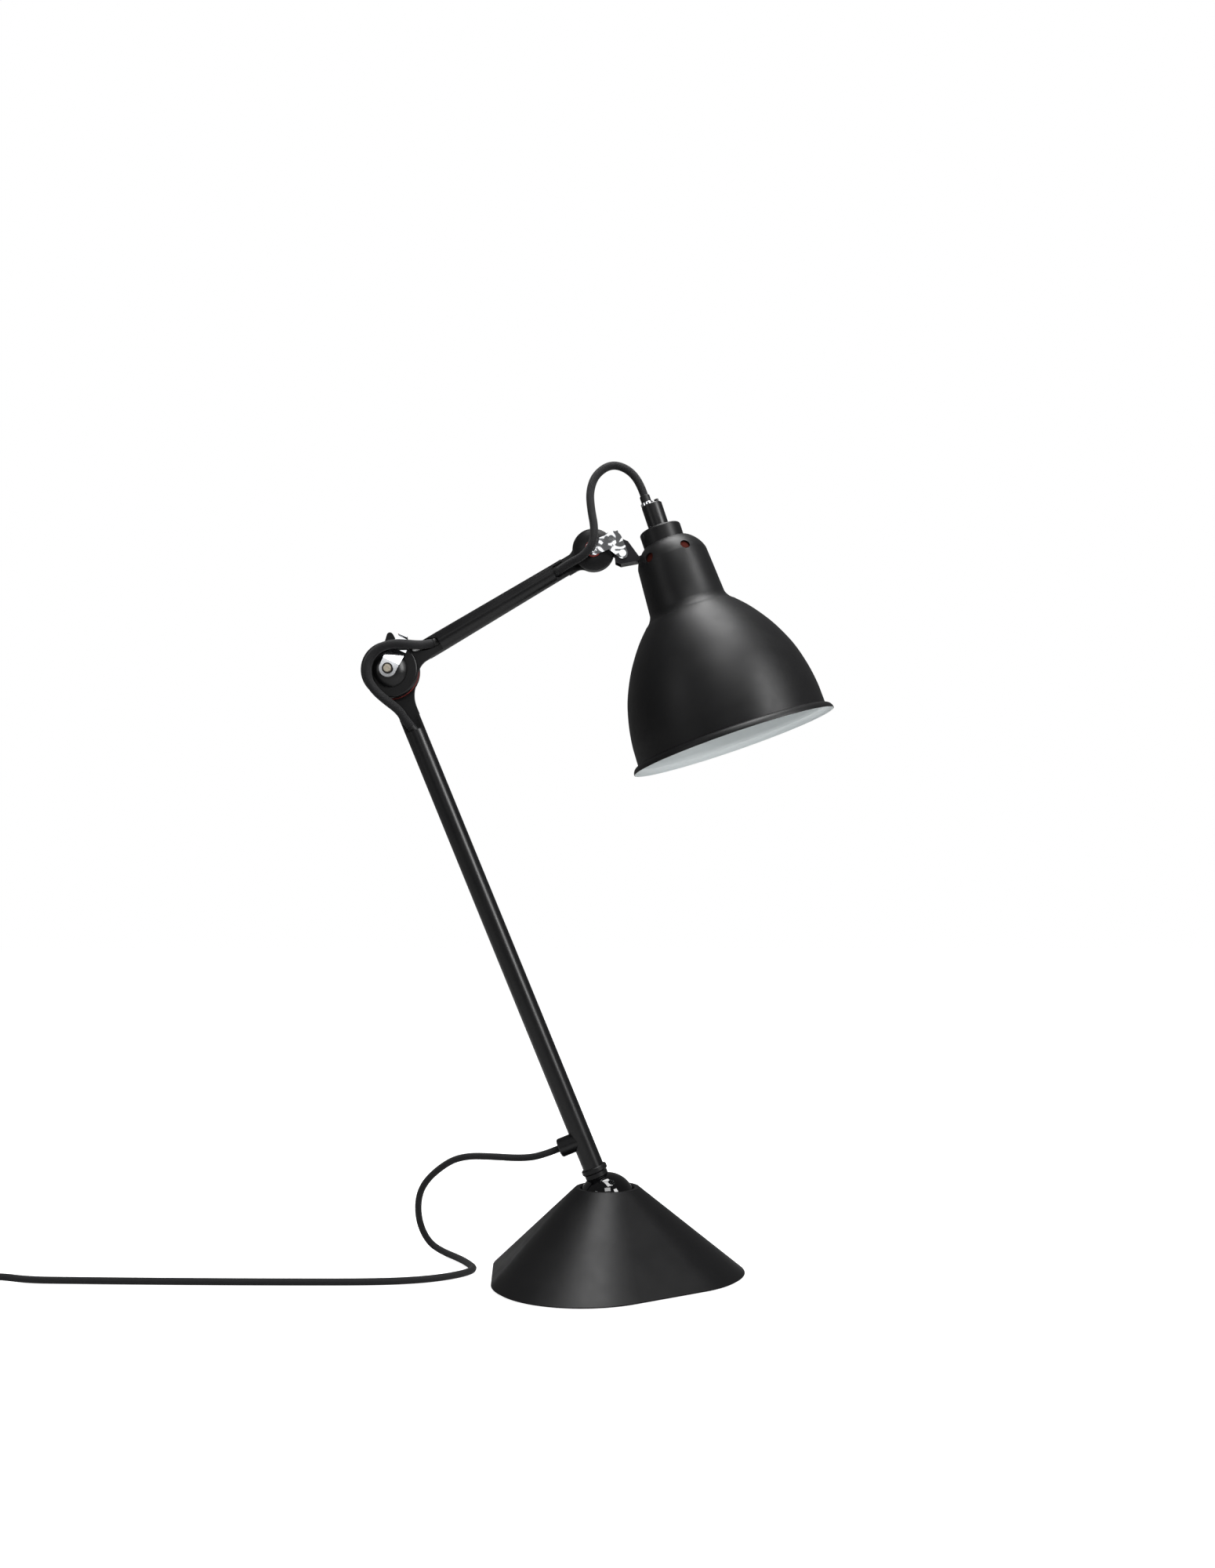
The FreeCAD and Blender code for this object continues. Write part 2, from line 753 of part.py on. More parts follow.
def make_clip():
    """Bent leaf under the bolt's head: down over the dome to the disc, and up as a hook past its edge."""
    half = clip_width / 2
    foot = dome_radius + groove_width + clip_foot
    edge = elbow_disc_radius + clip_edge
    low = outer_face + 0.15
    top = dome_top
    t = clip_thickness
    bent = [
        vec(-half, 0, top), vec(clip_flat, 0, top), vec(foot, 0, low), vec(edge + t, 0, low),
        vec(edge + t + 0.8, 0, low + clip_hook), vec(edge + 0.8, 0, low + clip_hook),
        vec(edge, 0, low + t), vec(foot + 0.3, 0, low + t),
        vec(clip_flat + 0.2, 0, top + t), vec(-half, 0, top + t),
    ]
    strip = Part.Face(Part.Wire(edges_of(bent[0], *bent[1:], bent[0]))).extrude(vec(0, clip_width))
    strip.translate(vec(0, -half))
    narrow = clip_end_width / 2
    outline = plate(edges_of(
        vec(0, -half),
        vec(edge - 6, -half),
        vec(edge, -narrow),
        vec(edge + 4, -narrow),
        vec(edge + 4, narrow),
        vec(edge, narrow),
        vec(edge - 6, half),
        vec(0, half),
        (vec(-half, 0), vec(0, -half)),
    ), 0, through)
    clip = strip.common(outline)
    return clip.cut(Part.makeCylinder(elbow_bore, through))


def slotted_bolt(radius, head_radius, head_height, under_head, tail):
    """Cheese-headed bolt along Z, its head in front of under_head, its shank back to tail."""
    head_top = under_head + head_height
    bolt = lathe(profile(
        (0, tail), (radius, tail), (radius, under_head), (head_radius, under_head),
        (head_radius, head_top - 0.5), (head_radius - 0.5, head_top), (0, head_top),
    ))
    slot = block(-9, 9, -bolt_slot / 2, bolt_slot / 2, head_top - head_height * 0.5, head_top + 5)
    return bolt.cut(turned(slot, -35))


rear_face = -(dome_top + seat_gap)
lever_rear = rear_face - lever_thickness
nut_rear = lever_rear - nut_height


def hex_nut(radius, bore, low, high):
    corners = [vec(radius * math.cos(math.radians(60 * k)), radius * math.sin(math.radians(60 * k)), low)
               for k in range(7)]
    nut = Part.Face(Part.makePolygon(corners)).extrude(vec(0, 0, high - low))
    return nut.cut(Part.makeCylinder(bore, high - low + 2, vec(0, 0, low - 1)))


def teardrop(hub, tip, reach, low, high):
    """Plate with a round hub at the origin and a smaller round tip along +X."""
    lean = math.asin((hub - tip) / reach)
    side = vec(math.sin(lean), math.cos(lean))
    other = vec(side.x, -side.y)
    tip_centre = vec(reach, 0)
    return plate(edges_of(
        side * hub,
        tip_centre + side * tip,
        (tip_centre + vec(tip, 0), tip_centre + other * tip),
        other * hub,
        (vec(-hub, 0), side * hub),
    ), low, high)


lever = teardrop(lever_hub_radius, lever_tip_radius, lever_reach, lever_rear, rear_face)
lever = lever.cut(Part.makeCylinder(elbow_bore, 60, vec(0, 0, -40)))
save("elbow_clip", side_view(turned(make_clip(), clip_angle), elbow))
save("elbow_bolt", side_view(slotted_bolt(elbow_bolt_radius, bolt_head_radius, bolt_head_height,
                                          dome_top + clip_thickness, nut_rear - 1), elbow))
save("elbow_lever", side_view(turned(lever, lever_angle), elbow))
save("elbow_nut", side_view(hex_nut(nut_radius, elbow_bolt_radius, nut_rear, lever_rear), elbow))


# Upper arm.
def make_arm_tube():
    low = arm_end_gap
    length = arm_length - arm_end_gap - head_end_gap
    outer = Part.makeCone(arm_foot_radius, arm_top_radius, length, vec(0, 0, low))
    inner = Part.makeCone(arm_bore, arm_top_bore, length, vec(0, 0, low))
    return placed(outer.cut(inner), elbow, arm_axis, direction(arm_rise - 90))


def make_head_knuckle():
    """Double-faced disc at the arm's end, its neck set back so that the cord leaves in front."""
    half = head_disc_half
    bolt_hole = head_bolt_radius + running_gap
    r = head_rounding
    mid = r * (1 - math.sqrt(0.5))
    rim_level = head_disc_edge - r
    swell = (head_disc_radius + head_disc_flat) / 2
    swell_level = head_disc_edge + (half - head_disc_edge) * 0.62
    disc = lathe(edges_of(
        vec(bolt_hole, 0, -half),
        vec(head_disc_flat, 0, -half),
        (vec(swell, 0, -swell_level), vec(head_disc_radius - r, 0, -head_disc_edge)),
        (vec(head_disc_radius - mid, 0, -rim_level - r + mid), vec(head_disc_radius, 0, -rim_level)),
        vec(head_disc_radius, 0, rim_level),
        (vec(head_disc_radius - mid, 0, rim_level + r - mid), vec(head_disc_radius - r, 0, head_disc_edge)),
        (vec(swell, 0, swell_level), vec(head_disc_flat, 0, half)),
        vec(bolt_hole, 0, half),
        vec(bolt_hole, 0, -half),
    ))
    fillets = (head_neck_fillet, head_neck_fillet)
    neck = plate(neck_outline(head_disc_radius, arm_top_radius, head_end_gap, fillets),
                 -head_disc_edge, -head_neck_back)
    neck = neck.cut(Part.makeCylinder(bolt_hole, through, vec(0, 0, -through / 2)))
    bounds = Part.makeCylinder(arm_top_radius, through, vec(head_disc_radius, 0), vec(1, 0))
    lips_from = head_end_gap - head_cheek_length
    neck = neck.common(bounds.fuse(block(-through, lips_from, -through, through, -through, through)))
    lips = cheeks(arm_top_radius, arm_top_bore, lips_from, head_end_gap, -through, head_lip_level)
    stub = spigot(arm_top_bore, top_boot_hole, head_end_gap, spigot_length)
    bridge = spigot(arm_top_radius, top_boot_hole, head_end_gap - stub_wall, stub_wall)
    bridge = bridge.common(block(0, through, -through, through, -through, head_lip_level))
    knuckle = disc.fuse([neck, lips, stub, bridge]).removeSplitter()
    room = boot_room(top_boot_hole + seat_gap, head_end_gap, 0, head_disc_radius + 1)
    return knuckle.cut(room).cut(boot_shape(top_boot_hole, head_end_gap, 0))


top_boot_hole = top_boot_radius + running_gap


save("arm_tube", make_arm_tube())
save("head_knuckle", side_view(turned(make_head_knuckle(), head_way), head))
save("arm_top_boot", side_view(turned(boot_shape(top_boot_radius, head_end_gap, 0), head_way), head))


# Leads inside the tubes.
def inner_lead(diameter, low, high):
    return Part.makeCylinder(diameter / 2, high - low, vec(0, 0, low))


save("stem_lead", along_stem(inner_lead(mains_diameter, outlet_height,
                                        stem_tube_end - spigot_length)))
save("arm_lead", placed(inner_lead(mains_diameter, arm_end_gap + spigot_length,
                                   arm_length - head_end_gap - spigot_length),
                        elbow, arm_axis, direction(arm_rise - 90)))


# Head joint.
washer_front = head_disc_half + seat_gap + head_washer_thickness
leaf_front = washer_front + stirrup_thickness
bridge_near = head_disc_radius + stirrup_clear


def make_head_washers():
    bore = head_bolt_radius + running_gap
    outer = head_disc_flat
    front = tube(outer, bore, washer_front - head_washer_thickness, washer_front)
    rear = tube(outer, bore, -washer_front, -washer_front + head_washer_thickness)
    return [side_view(front, head), side_view(rear, head)]


def make_stirrup():
    """U of bright strip: a leaf on each side of the disc, a bridge past it, and a lobe for the rivet."""
    half = stirrup_width / 2
    far = bridge_near + stirrup_thickness
    long_leaf = plate(edges_of(
        vec(0, -half), vec(far + stirrup_fold, -half), vec(far + stirrup_fold, half), vec(0, half),
        (vec(-half, 0), vec(0, -half)),
    ), -leaf_front, leaf_front)
    hollow = block(-through, bridge_near, -through, through, -washer_front, washer_front)
    behind_fold = block(far, through, -through, through, -washer_front, washer_front)
    strap = turned(long_leaf.cut(hollow).cut(behind_fold), stirrup_angle)
    lobe_x, lobe_y = lobe_reach
    lobe = teardrop(rivet_head_radius + 4, rivet_head_radius + 1.2, math.hypot(lobe_x, lobe_y),
                    -leaf_front, leaf_front)
    lobe = turned(lobe, math.degrees(math.atan2(-lobe_y, lobe_x)))
    lobe.translate(vec(rivet_place[0] - lobe_x, rivet_place[1] + lobe_y))
    lobe = lobe.cut(block(-through, through, -through, through, -washer_front, washer_front))
    stirrup = strap.fuse(lobe).removeSplitter()
    holes = Part.makeCylinder(head_bolt_radius, through, vec(0, 0, -through / 2))
    rivet_hole = Part.makeCylinder(rivet_radius, through, vec(rivet_place[0], rivet_place[1], -through / 2))
    return side_view(stirrup.cut(holes).cut(rivet_hole), head)


def make_rivets():
    spot = vec(*rivet_place)
    rivets = []
    for way in (1, -1):
        head_low, head_high = sorted((leaf_front * way, (leaf_front + 0.9) * way))
        shank_low, shank_high = sorted(((bracket_half - bracket_wall) * way, leaf_front * way))
        shank = Part.makeCylinder(rivet_radius, shank_high - shank_low, spot + up * shank_low)
        disc = Part.makeCylinder(rivet_head_radius, head_high - head_low, spot + up * head_low)
        rivets.append(side_view(shank.fuse(disc).removeSplitter(), head))
    return rivets


bracket_arm_level = shade_top - bracket_arm_drop


def shade_point(beside, above):
    """Side-view place, from the head axis, of a point on the shade's own axes."""
    p = rim + shade_side * beside + shade_axis * above - head
    return vec(p.x, p.z)


def make_bracket():
    """Folded dark channel from the stirrup to a ring on the lampholder, through a slot in the shade."""
    neck_low = shade_point(-21.6, bracket_arm_level)
    neck_high = shade_point(-20.8, bracket_arm_level + bracket_arm_height)
    tail_low = vec(14.6, -8.4)
    tail_high = vec(14.2, -3.0)
    foot = vec(18.4, -10.2)
    crown = vec(23.2, 4.9)
    heel = vec(17.8, 7.2)
    outline = edges_of(tail_low, foot, neck_low, neck_high, crown, heel, tail_high, tail_low)
    body = plate(outline, -bracket_half, bracket_half)
    inside = bracket_half - bracket_wall
    hollow_edges = edges_of(tail_low + vec(-3, -3), foot + vec(-1, -4), foot + vec(0.5, bracket_wall),
                            neck_low + vec(-5, bracket_wall + 0.2), crown + vec(-2.5, -bracket_wall - 1),
                            heel + vec(-0.5, 3), tail_high + vec(-3, 3), tail_low + vec(-3, -3))
    body = body.cut(plate(hollow_edges, -inside, inside))
    body = body.cut(Part.makeCylinder(rivet_radius, through, vec(rivet_place[0], rivet_place[1], -through / 2)))
    body = body.cut(Part.makeCylinder(bridge_near, through, vec(0, 0, -through / 2)))
    half = stirrup_width / 2 + seat_gap
    body = body.cut(turned(block(0, bridge_near + stirrup_thickness + seat_gap, -half, half, -20, 20),
                           stirrup_angle))
    channel = side_view(body, head)
    top_inside = shade_top - shade_wall
    ring = tube(bracket_ring_radius, nipple_radius + running_gap, top_inside - bracket_ring_thickness, top_inside)
    arm_top = bracket_arm_level + bracket_arm_height
    arm = block(-23.5, -9, -bracket_arm_half, bracket_arm_half, bracket_arm_level, arm_top)
    riser = block(-13.0, -9, -bracket_arm_half, bracket_arm_half, bracket_arm_level, top_inside - 0.5)
    inner_part = on_shade(ring.fuse([arm, riser]).removeSplitter())
    return channel.fuse(inner_part).removeSplitter()


head_bolt_tail = -leaf_front - 3.6
save("head_washers", *make_head_washers())
save("head_stirrup", make_stirrup())
save("head_bolt", side_view(slotted_bolt(head_bolt_radius, head_bolt_head_radius, 1.6, leaf_front,
                                         head_bolt_tail), head))
save("head_nut", side_view(hex_nut(4.0, head_bolt_radius, -leaf_front - 3.0, -leaf_front), head))
save("bracket_rivets", *make_rivets())
save("shade_bracket", make_bracket())


# Shade.
def shade_outline(inset):
    """Open edge chain of the shade's section from the lip's height up to the top, drawn in by an inset."""
    def at(r, h):
        return vec(r - inset, 0, h)

    spread = shade_rim_radius - throat_radius
    swells = [(throat_radius + spread * share, dome_step * (k + 1)) for k, share in enumerate(dome_swell)]
    dome = Part.BSplineCurve()
    dome.interpolate([at(shade_rim_radius, lip_height)] + [at(r, h) for r, h in swells]
                     + [at(throat_radius, throat_height)])
    throat = at((throat_radius + 2 * neck_radius) / 3, (throat_height + neck_height) / 2 + 0.2)
    crown = vec((shoulder_radius + shade_top_radius) / 2 + 1.75 - inset * 0.7, 0,
                (shoulder_height + shade_top) / 2 - 0.15 - inset * 0.7)
    return [dome.toShape()] + edges_of(
        at(throat_radius, throat_height),
        (throat, at(neck_radius, neck_height)),
        at(shoulder_radius, shoulder_height),
        (crown, vec(shade_top_radius, 0, shade_top - inset)),
    )


def make_lip():
    """Thin flange that curls out and down from the shade's side to its rim."""
    outside = shade_rim_radius
    inside = outside - shade_wall
    lip_edge = outside + lip_width
    bend = lip_height * (1 - math.sqrt(0.5))
    wall = shade_wall
    return lathe(edges_of(
        vec(inside, 0, lip_height),
        vec(inside, 0, lip_height - wall),
        vec(outside, 0, lip_height - wall),
        (vec(lip_edge - bend - wall * 0.7, 0, lip_height - bend - wall * 0.7), vec(lip_edge - wall, 0, 0)),
        vec(lip_edge, 0, 0),
        (vec(lip_edge - bend, 0, lip_height - bend), vec(outside, 0, lip_height)),
        vec(inside, 0, lip_height),
    ))


def make_shade():
    top = shade_top
    outer = shade_outline(0)
    outer += edges_of(vec(shade_top_radius, 0, top), vec(0, 0, top), vec(0, 0, lip_height),
                      vec(shade_rim_radius, 0, lip_height))
    inner = shade_outline(shade_wall)
    inner_top = top - shade_wall
    inner += edges_of(vec(shade_top_radius, 0, inner_top), vec(0, 0, inner_top), vec(0, 0, lip_height),
                      vec(shade_rim_radius - shade_wall, 0, lip_height))
    shell = lathe(outer).cut(lathe(inner)).fuse(make_lip()).removeSplitter()
    for k in range(vent_count):
        angle = vent_step * (k - (vent_count - 1) / 2)
        way = FreeCAD.Rotation(up, angle).multVec(vec(1, 0))
        start = way * (shoulder_radius - 7) + up * (top - vent_drop - 2.2)
        shell = shell.cut(Part.makeCylinder(vent_radius, shoulder_radius / 2, start, way * 0.8 + up * 0.42))
    half = bracket_arm_half + seat_gap
    slot = block(-shoulder_radius - 6, -12, -half, half, bracket_arm_level - seat_gap,
                 bracket_arm_level + bracket_arm_height + seat_gap)
    hole = Part.makeCylinder(nipple_radius + running_gap, shade_wall * 4, up * (top - shade_wall * 2))
    return on_shade(shell.cut(slot).cut(hole))


cap_top = shade_top + cap_height
gland_top = cap_top + gland_height
holder_top = bracket_arm_level - seat_gap


def make_cap():
    cap = Part.makeCylinder(cap_radius, cap_height, vec(cap_shift, 0, shade_top))
    cap = cap.makeFillet(cap_rounding, circle_edges(cap, cap_radius, cap_top))
    return on_shade(cap.cut(Part.makeCylinder(nipple_radius + running_gap, through, up * (shade_top - 1))))


def make_gland():
    """Screw-on gland over the nipple, with a small clamp screw beside the cord."""
    gland = Part.makeCylinder(gland_radius, gland_height, vec(cap_shift, 0, cap_top))
    gland = gland.makeChamfer(gland_chamfer, circle_edges(gland, gland_radius, gland_top))
    gland = gland.cut(Part.makeCylinder(nipple_radius + running_gap, nipple_bite + 0.5, up * cap_top))
    nub = Part.makeCylinder(clamp_nub_radius, clamp_nub_height + 1,
                            vec(cap_shift + gland_radius - clamp_nub_radius - 2 * gland_chamfer, 0,
                                gland_top - 1))
    return on_shade(gland.fuse(nub).removeSplitter())


nipple_bite = 9.0


def make_gland_ring():
    ring = lathe(profile(
        (head_boot_radius, 0), (gland_ring_radius, 0), (gland_ring_radius, gland_ring_height - 0.5),
        (gland_ring_radius - 0.5, gland_ring_height), (head_boot_radius, gland_ring_height),
    ))
    ring.translate(vec(cap_shift + gland_ring_shift, 0, gland_top))
    return on_shade(ring)


def make_head_boot():
    boot = lathe(profile((0, 0), (head_boot_radius, 0), (head_boot_radius, head_boot_length - 0.4),
                         (head_boot_radius - 0.4, head_boot_length), (0, head_boot_length)))
    boot.translate(vec(cap_shift + gland_ring_shift, 0, gland_top))
    return on_shade(boot)


def make_nipple():
    """Threaded tube that holds cap, shade, bracket ring and lampholder together."""
    return on_shade(tube(nipple_radius, nipple_bore, holder_top - 8, cap_top + nipple_bite))


def make_holder_shell():
    ring_low = shade_top - shade_wall - bracket_ring_thickness
    shell = lathe(profile(
        (holder_radius - holder_wall, holder_bottom), (holder_radius, holder_bottom),
        (holder_radius, holder_top - 3), (holder_radius - 3, holder_top), (holder_neck_radius, holder_top),
        (holder_neck_radius, ring_low), (nipple_radius, ring_low), (nipple_radius, holder_top - 8),
        (holder_radius - holder_wall, holder_top - 8),
    ))
    return on_shade(shell)


def make_holder_core():
    """Moulded insert with the screw contact for a small bulb."""
    outer = holder_radius - holder_wall
    core_top = holder_top - 8
    core = Part.makeCylinder(outer, core_top - holder_bottom - 1.5, up * (holder_bottom + 1.5))
    socket_depth = bulb_cap_length - bulb_cap_out + 0.3
    hole = Part.makeCylinder(bulb_cap_radius + running_gap, socket_depth, up * (holder_bottom + 1.5))
    return on_shade(core.cut(hole))


bulb_cap_out = 3.0  # length of the bulb's cap below the lampholder


def make_bulb_cap():
    low = holder_bottom + 1.5 - bulb_cap_out
    button = 2.0
    return on_shade(lathe(profile(
        (0, low), (bulb_cap_radius, low), (bulb_cap_radius, low + bulb_cap_length - 4 - button),
        (bulb_cap_radius - 3, low + bulb_cap_length - button), (2, low + bulb_cap_length - button),
        (2, low + bulb_cap_length), (0, low + bulb_cap_length),
    )))


def make_bulb_glass():
    """Round glass envelope, closed against the bulb's cap."""
    neck_top = holder_bottom + 1.5 - bulb_cap_out
    neck = bulb_cap_radius

    def envelope(inset):
        radius = bulb_radius - inset
        neck_radius = neck - inset
        join = bulb_centre + math.sqrt(radius ** 2 - neck_radius ** 2)
        return lathe(edges_of(
            vec(0, 0, bulb_centre - radius),
            (vec(radius, 0, bulb_centre), vec(neck_radius, 0, join)),
            vec(neck_radius, 0, neck_top),
            vec(0, 0, neck_top),
            vec(0, 0, bulb_centre - radius),
        ))

    return on_shade(envelope(0).cut(envelope(bulb_wall)))


save("shade_shell", make_shade())
save("shade_cap", make_cap())
save("cord_gland", make_gland())
save("gland_ring", make_gland_ring())
save("head_boot", make_head_boot())
save("holder_nipple", make_nipple())
save("lampholder_shell", make_holder_shell())
save("lampholder_core", make_holder_core())
save("bulb_cap", make_bulb_cap())
save("bulb_glass", make_bulb_glass())


# Cords.
def tangent_arcs(points):
    """Straight runs joined by tangent arcs. Returns the wire and its tightest radius."""
    edges = []
    here = points[0]
    tightest = 999.0
    for before, corner, after in zip(points, points[1:], points[2:]):
        arriving = corner - before
        leaving = after - corner
        turn = arriving.getAngle(leaving)
        reach = 0.45 * min(arriving.Length, leaving.Length)
        radius = reach / math.tan(turn / 2)
        arriving.normalize()
        leaving.normalize()
        inwards = (leaving - arriving).normalize()
        middle = corner + inwards * (radius / math.cos(turn / 2) - radius)
        start = corner - arriving * reach
        end = corner + leaving * reach
        edges.append(Part.LineSegment(here, start).toShape())
        edges.append(Part.Arc(start, middle, end).toShape())
        here = end
        tightest = min(tightest, radius)
    edges.append(Part.LineSegment(here, points[-1]).toShape())
    return Part.Wire(edges), tightest


def sweep(path, diameter, start, way):
    section = Part.Wire(Part.makeCircle(diameter / 2, start, way))
    return path.makePipeShell([section], True, False)


def cord(name, places, diameter):
    points = [vec(*p) for p in places]
    path, tightest = tangent_arcs(points)
    solid = sweep(path, diameter, points[0], points[1] - points[0])
    section = math.pi * diameter ** 2 / 4
    share = solid.Volume / (section * path.Length)
    print(f"{name}: length {path.Length:.1f}, tightest radius {tightest:.1f}, volume share {share:.4f}")
    save(name, solid)


elbow_cord_route = [
    (-131.16, -1.58, 366.3), (-134.78, -3.62, 370.57), (-138.3, -6.3, 376.5), (-146.6, -10.3, 382.7),
    (-153.6, -11.0, 388.9), (-157.9, -11.1, 395.6), (-158.9, -11.0, 402.6), (-157.6, -11.0, 409.2),
    (-153.9, -11.3, 414.3), (-148.1, -12.2, 418.1), (-140.4, -12.3, 419.8), (-132.6, -11.8, 419.6),
    (-126.8, -8.4, 419.6), (-122.18, -3.79, 420.39), (-116.31, -1.58, 421.93),
]
head_cord_route = [
    (-32.11, -1.58, 470.61), (-25.84, -4.24, 474.34), (-16.5, -9.4, 477.6), (-9.3, -11.9, 485.0),
    (-7.9, -11.2, 496.0), (-10.5, -8.6, 509.6), (-11.5, -6.2, 522.0), (-7.8, -3.4, 533.9),
    (2.5, -1.2, 541.7), (13.8, -0.3, 538.8), (21.83, 0.0, 529.76), (24.89, 0.0, 520.66),
]
lead_route = [(-32.01, 0.0, 83.98), (-43.02, 0.0, 79.48), (-56.5, 3.6, 76.7), (-68.5, 6.8, 76.9)]
bridge_route = [(-68.5, 6.8, 76.9), (-80.5, 10.0, 77.1), (-95.6, 15.2, 76.4), (-108.8, 22.2, 71.8),
                (-117.3, 28.2, 64.6)]
drop_route = [(-117.3, 28.2, 64.6), (-124.95, 33.6, 58.12), (-132.4, 41.2, 45.4), (-134.4, 50.4, 28.6),
              (-130.9, 57.0, 13.4), (-122.6, 57.4, 3.73), (-110.5, 43.0, 2.88)]
floor_route = [(-110.5, 43.0, 2.88), (-102.96, 34.03, 2.35), (-94.6, 18.4, 2.35), (-88.4, 2.6, 2.35),
               (-99.0, -13.0, 2.35), (-119.0, -25.0, 2.35), (-149.0, -30.8, 2.35), (-203.0, -30.9, 2.35),
               (-258.0, -30.0, 2.35), (-306.0, -28.5, 2.35), (-348.0, -26.8, 2.35), (-377.0, -25.4, 2.35),
               (-396.0, -24.6, 4.5), (-410.0, -24.6, 4.5)]
cords = [
    ("elbow_cord", elbow_cord_route, elbow_cord_diameter),
    ("head_cord", head_cord_route, head_cord_diameter),
    ("mains_cord_lead", lead_route, mains_diameter),
    ("mains_cord_bridge", bridge_route, mains_diameter),
    ("mains_cord_drop", drop_route, mains_diameter),
    ("mains_cord_floor", floor_route, mains_diameter),
]
for name, route, diameter in cords:
    cord(name, route, diameter)


# Coil.
coil_centre = vec(switch_end[0] - switch_length - coil_lead_in, switch_end[1] - coil_radius)
layer_step = mains_diameter + turn_gap
floor_level = mains_diameter / 2 + floor_clearance
upper_level = floor_level + layer_step
full_turn = 2 * math.pi
out = vec(-1, 0)  # away from the lamp
boot_start = coil_centre + vec(-coil_tail, coil_radius, upper_level)


def coil_point(turns):
    """Place in the coil: inwards on the floor, up a layer round the innermost turn, outwards on top."""
    radius = coil_radius - layer_step * (coil_turns - abs(turns - coil_turns))
    climb = min(1, max(0, (turns - coil_turns) * 2 + 0.5))
    level = floor_level + layer_step * climb * climb * (3 - 2 * climb)
    angle = math.pi / 2 + turns * full_turn
    return coil_centre + vec(radius * math.cos(angle), radius * math.sin(angle), level)


def coil_way(turns):
    step = 0.0005
    low = max(0, turns - step)
    high = min(2 * coil_turns, turns + step)
    return (coil_point(high) - coil_point(low)).normalize()


def arc_or_line(start, corner, end):
    """One arc that is tangent to both legs of an even corner, or a line if the corner is flat."""
    first = (corner - start).normalize()
    second = (end - corner).normalize()
    turn = first.getAngle(second)
    if turn < 1e-5:
        return Part.LineSegment(start, end).toShape(), 999.0
    radius = (corner - start).Length / math.tan(turn / 2)
    middle = corner + (second - first).normalize() * (radius / math.cos(turn / 2) - radius)
    return Part.Arc(start, middle, end).toShape(), radius


def biarc(start, start_way, end, end_way):
    """Two arcs from one place and direction to another."""
    across = end - start
    a = 2 * (start_way.dot(end_way) - 1)
    b = -2 * across.dot(start_way + end_way)
    c = across.dot(across)
    reach = -c / b if abs(a) < 1e-9 else (-b - math.sqrt(b * b - 4 * a * c)) / (2 * a)
    first = start + start_way * reach
    second = end - end_way * reach
    joint = (first + second) / 2
    return [arc_or_line(start, first, joint), arc_or_line(joint, second, end)]


def coil_stations():
    """Places and directions that the coil passes through, from the switch to the plug's boot."""
    start = vec(switch_end[0] - switch_length, switch_end[1], switch_entry)
    stations = [(start, out), (start + out * mains_diameter, out)]
    quarters = int(round(coil_turns * 8))
    for k in range(quarters + 1):
        stations.append((coil_point(k / 4), coil_way(k / 4)))
    stations.append((boot_start - out * mains_diameter, out))
    stations.append((boot_start, out))
    return stations


def make_coil():
    stations = coil_stations()
    edges = []
    tightest = 999.0
    for (start, start_way), (end, end_way) in zip(stations, stations[1:]):
        if (end - start).getAngle(start_way) < 1e-5 and start_way.getAngle(end_way) < 1e-5:
            edges.append(Part.LineSegment(start, end).toShape())
            continue
        for edge, radius in biarc(start, start_way, end, end_way):
            edges.append(edge)
            tightest = min(tightest, radius)
    path = Part.Wire(edges)
    print(f"coil: length {path.Length:.0f}, tightest radius {tightest:.1f}, least gap {least_gap(edges):.2f}")
    return sweep(path, mains_diameter, *stations[0])


def least_gap(edges):
    """Smallest distance between two turns of the wire, measured on points along it."""
    places = []
    along = 0.0
    for edge in edges:
        count = max(2, int(edge.Length / 1.5))
        points = edge.discretize(count + 1)[:-1]
        places += [(along + k * edge.Length / count, p) for k, p in enumerate(points)]
        along += edge.Length
    gap = 999.0
    for k, (here, p) in enumerate(places):
        for there, q in places[k + 1:]:
            if there - here > 5 * mains_diameter:
                gap = min(gap, p.distanceToPoint(q))
    return gap - mains_diameter


save("mains_cord_coil", make_coil())


# Switch on the cord.
def rounded_block(length, width, corner, low, high, centre):
    """Box with round upright corners."""
    x = length / 2
    y = width / 2
    c = corner
    m = corner * (1 - math.sqrt(0.5))
    solid = plate(edges_of(
        vec(c - x, -y), vec(x - c, -y), (vec(x - m, m - y), vec(x, c - y)), vec(x, y - c),
        (vec(x - m, y - m), vec(x - c, y)), vec(c - x, y), (vec(m - x, y - m), vec(-x, y - c)),
        vec(-x, c - y), (vec(m - x, m - y), vec(c - x, -y)),
    ), low, high)
    solid.translate(centre)
    return solid


switch_centre = vec(switch_end[0] - switch_length / 2, switch_end[1])
rocker_axis = switch_centre + up * (switch_height - 1.4)


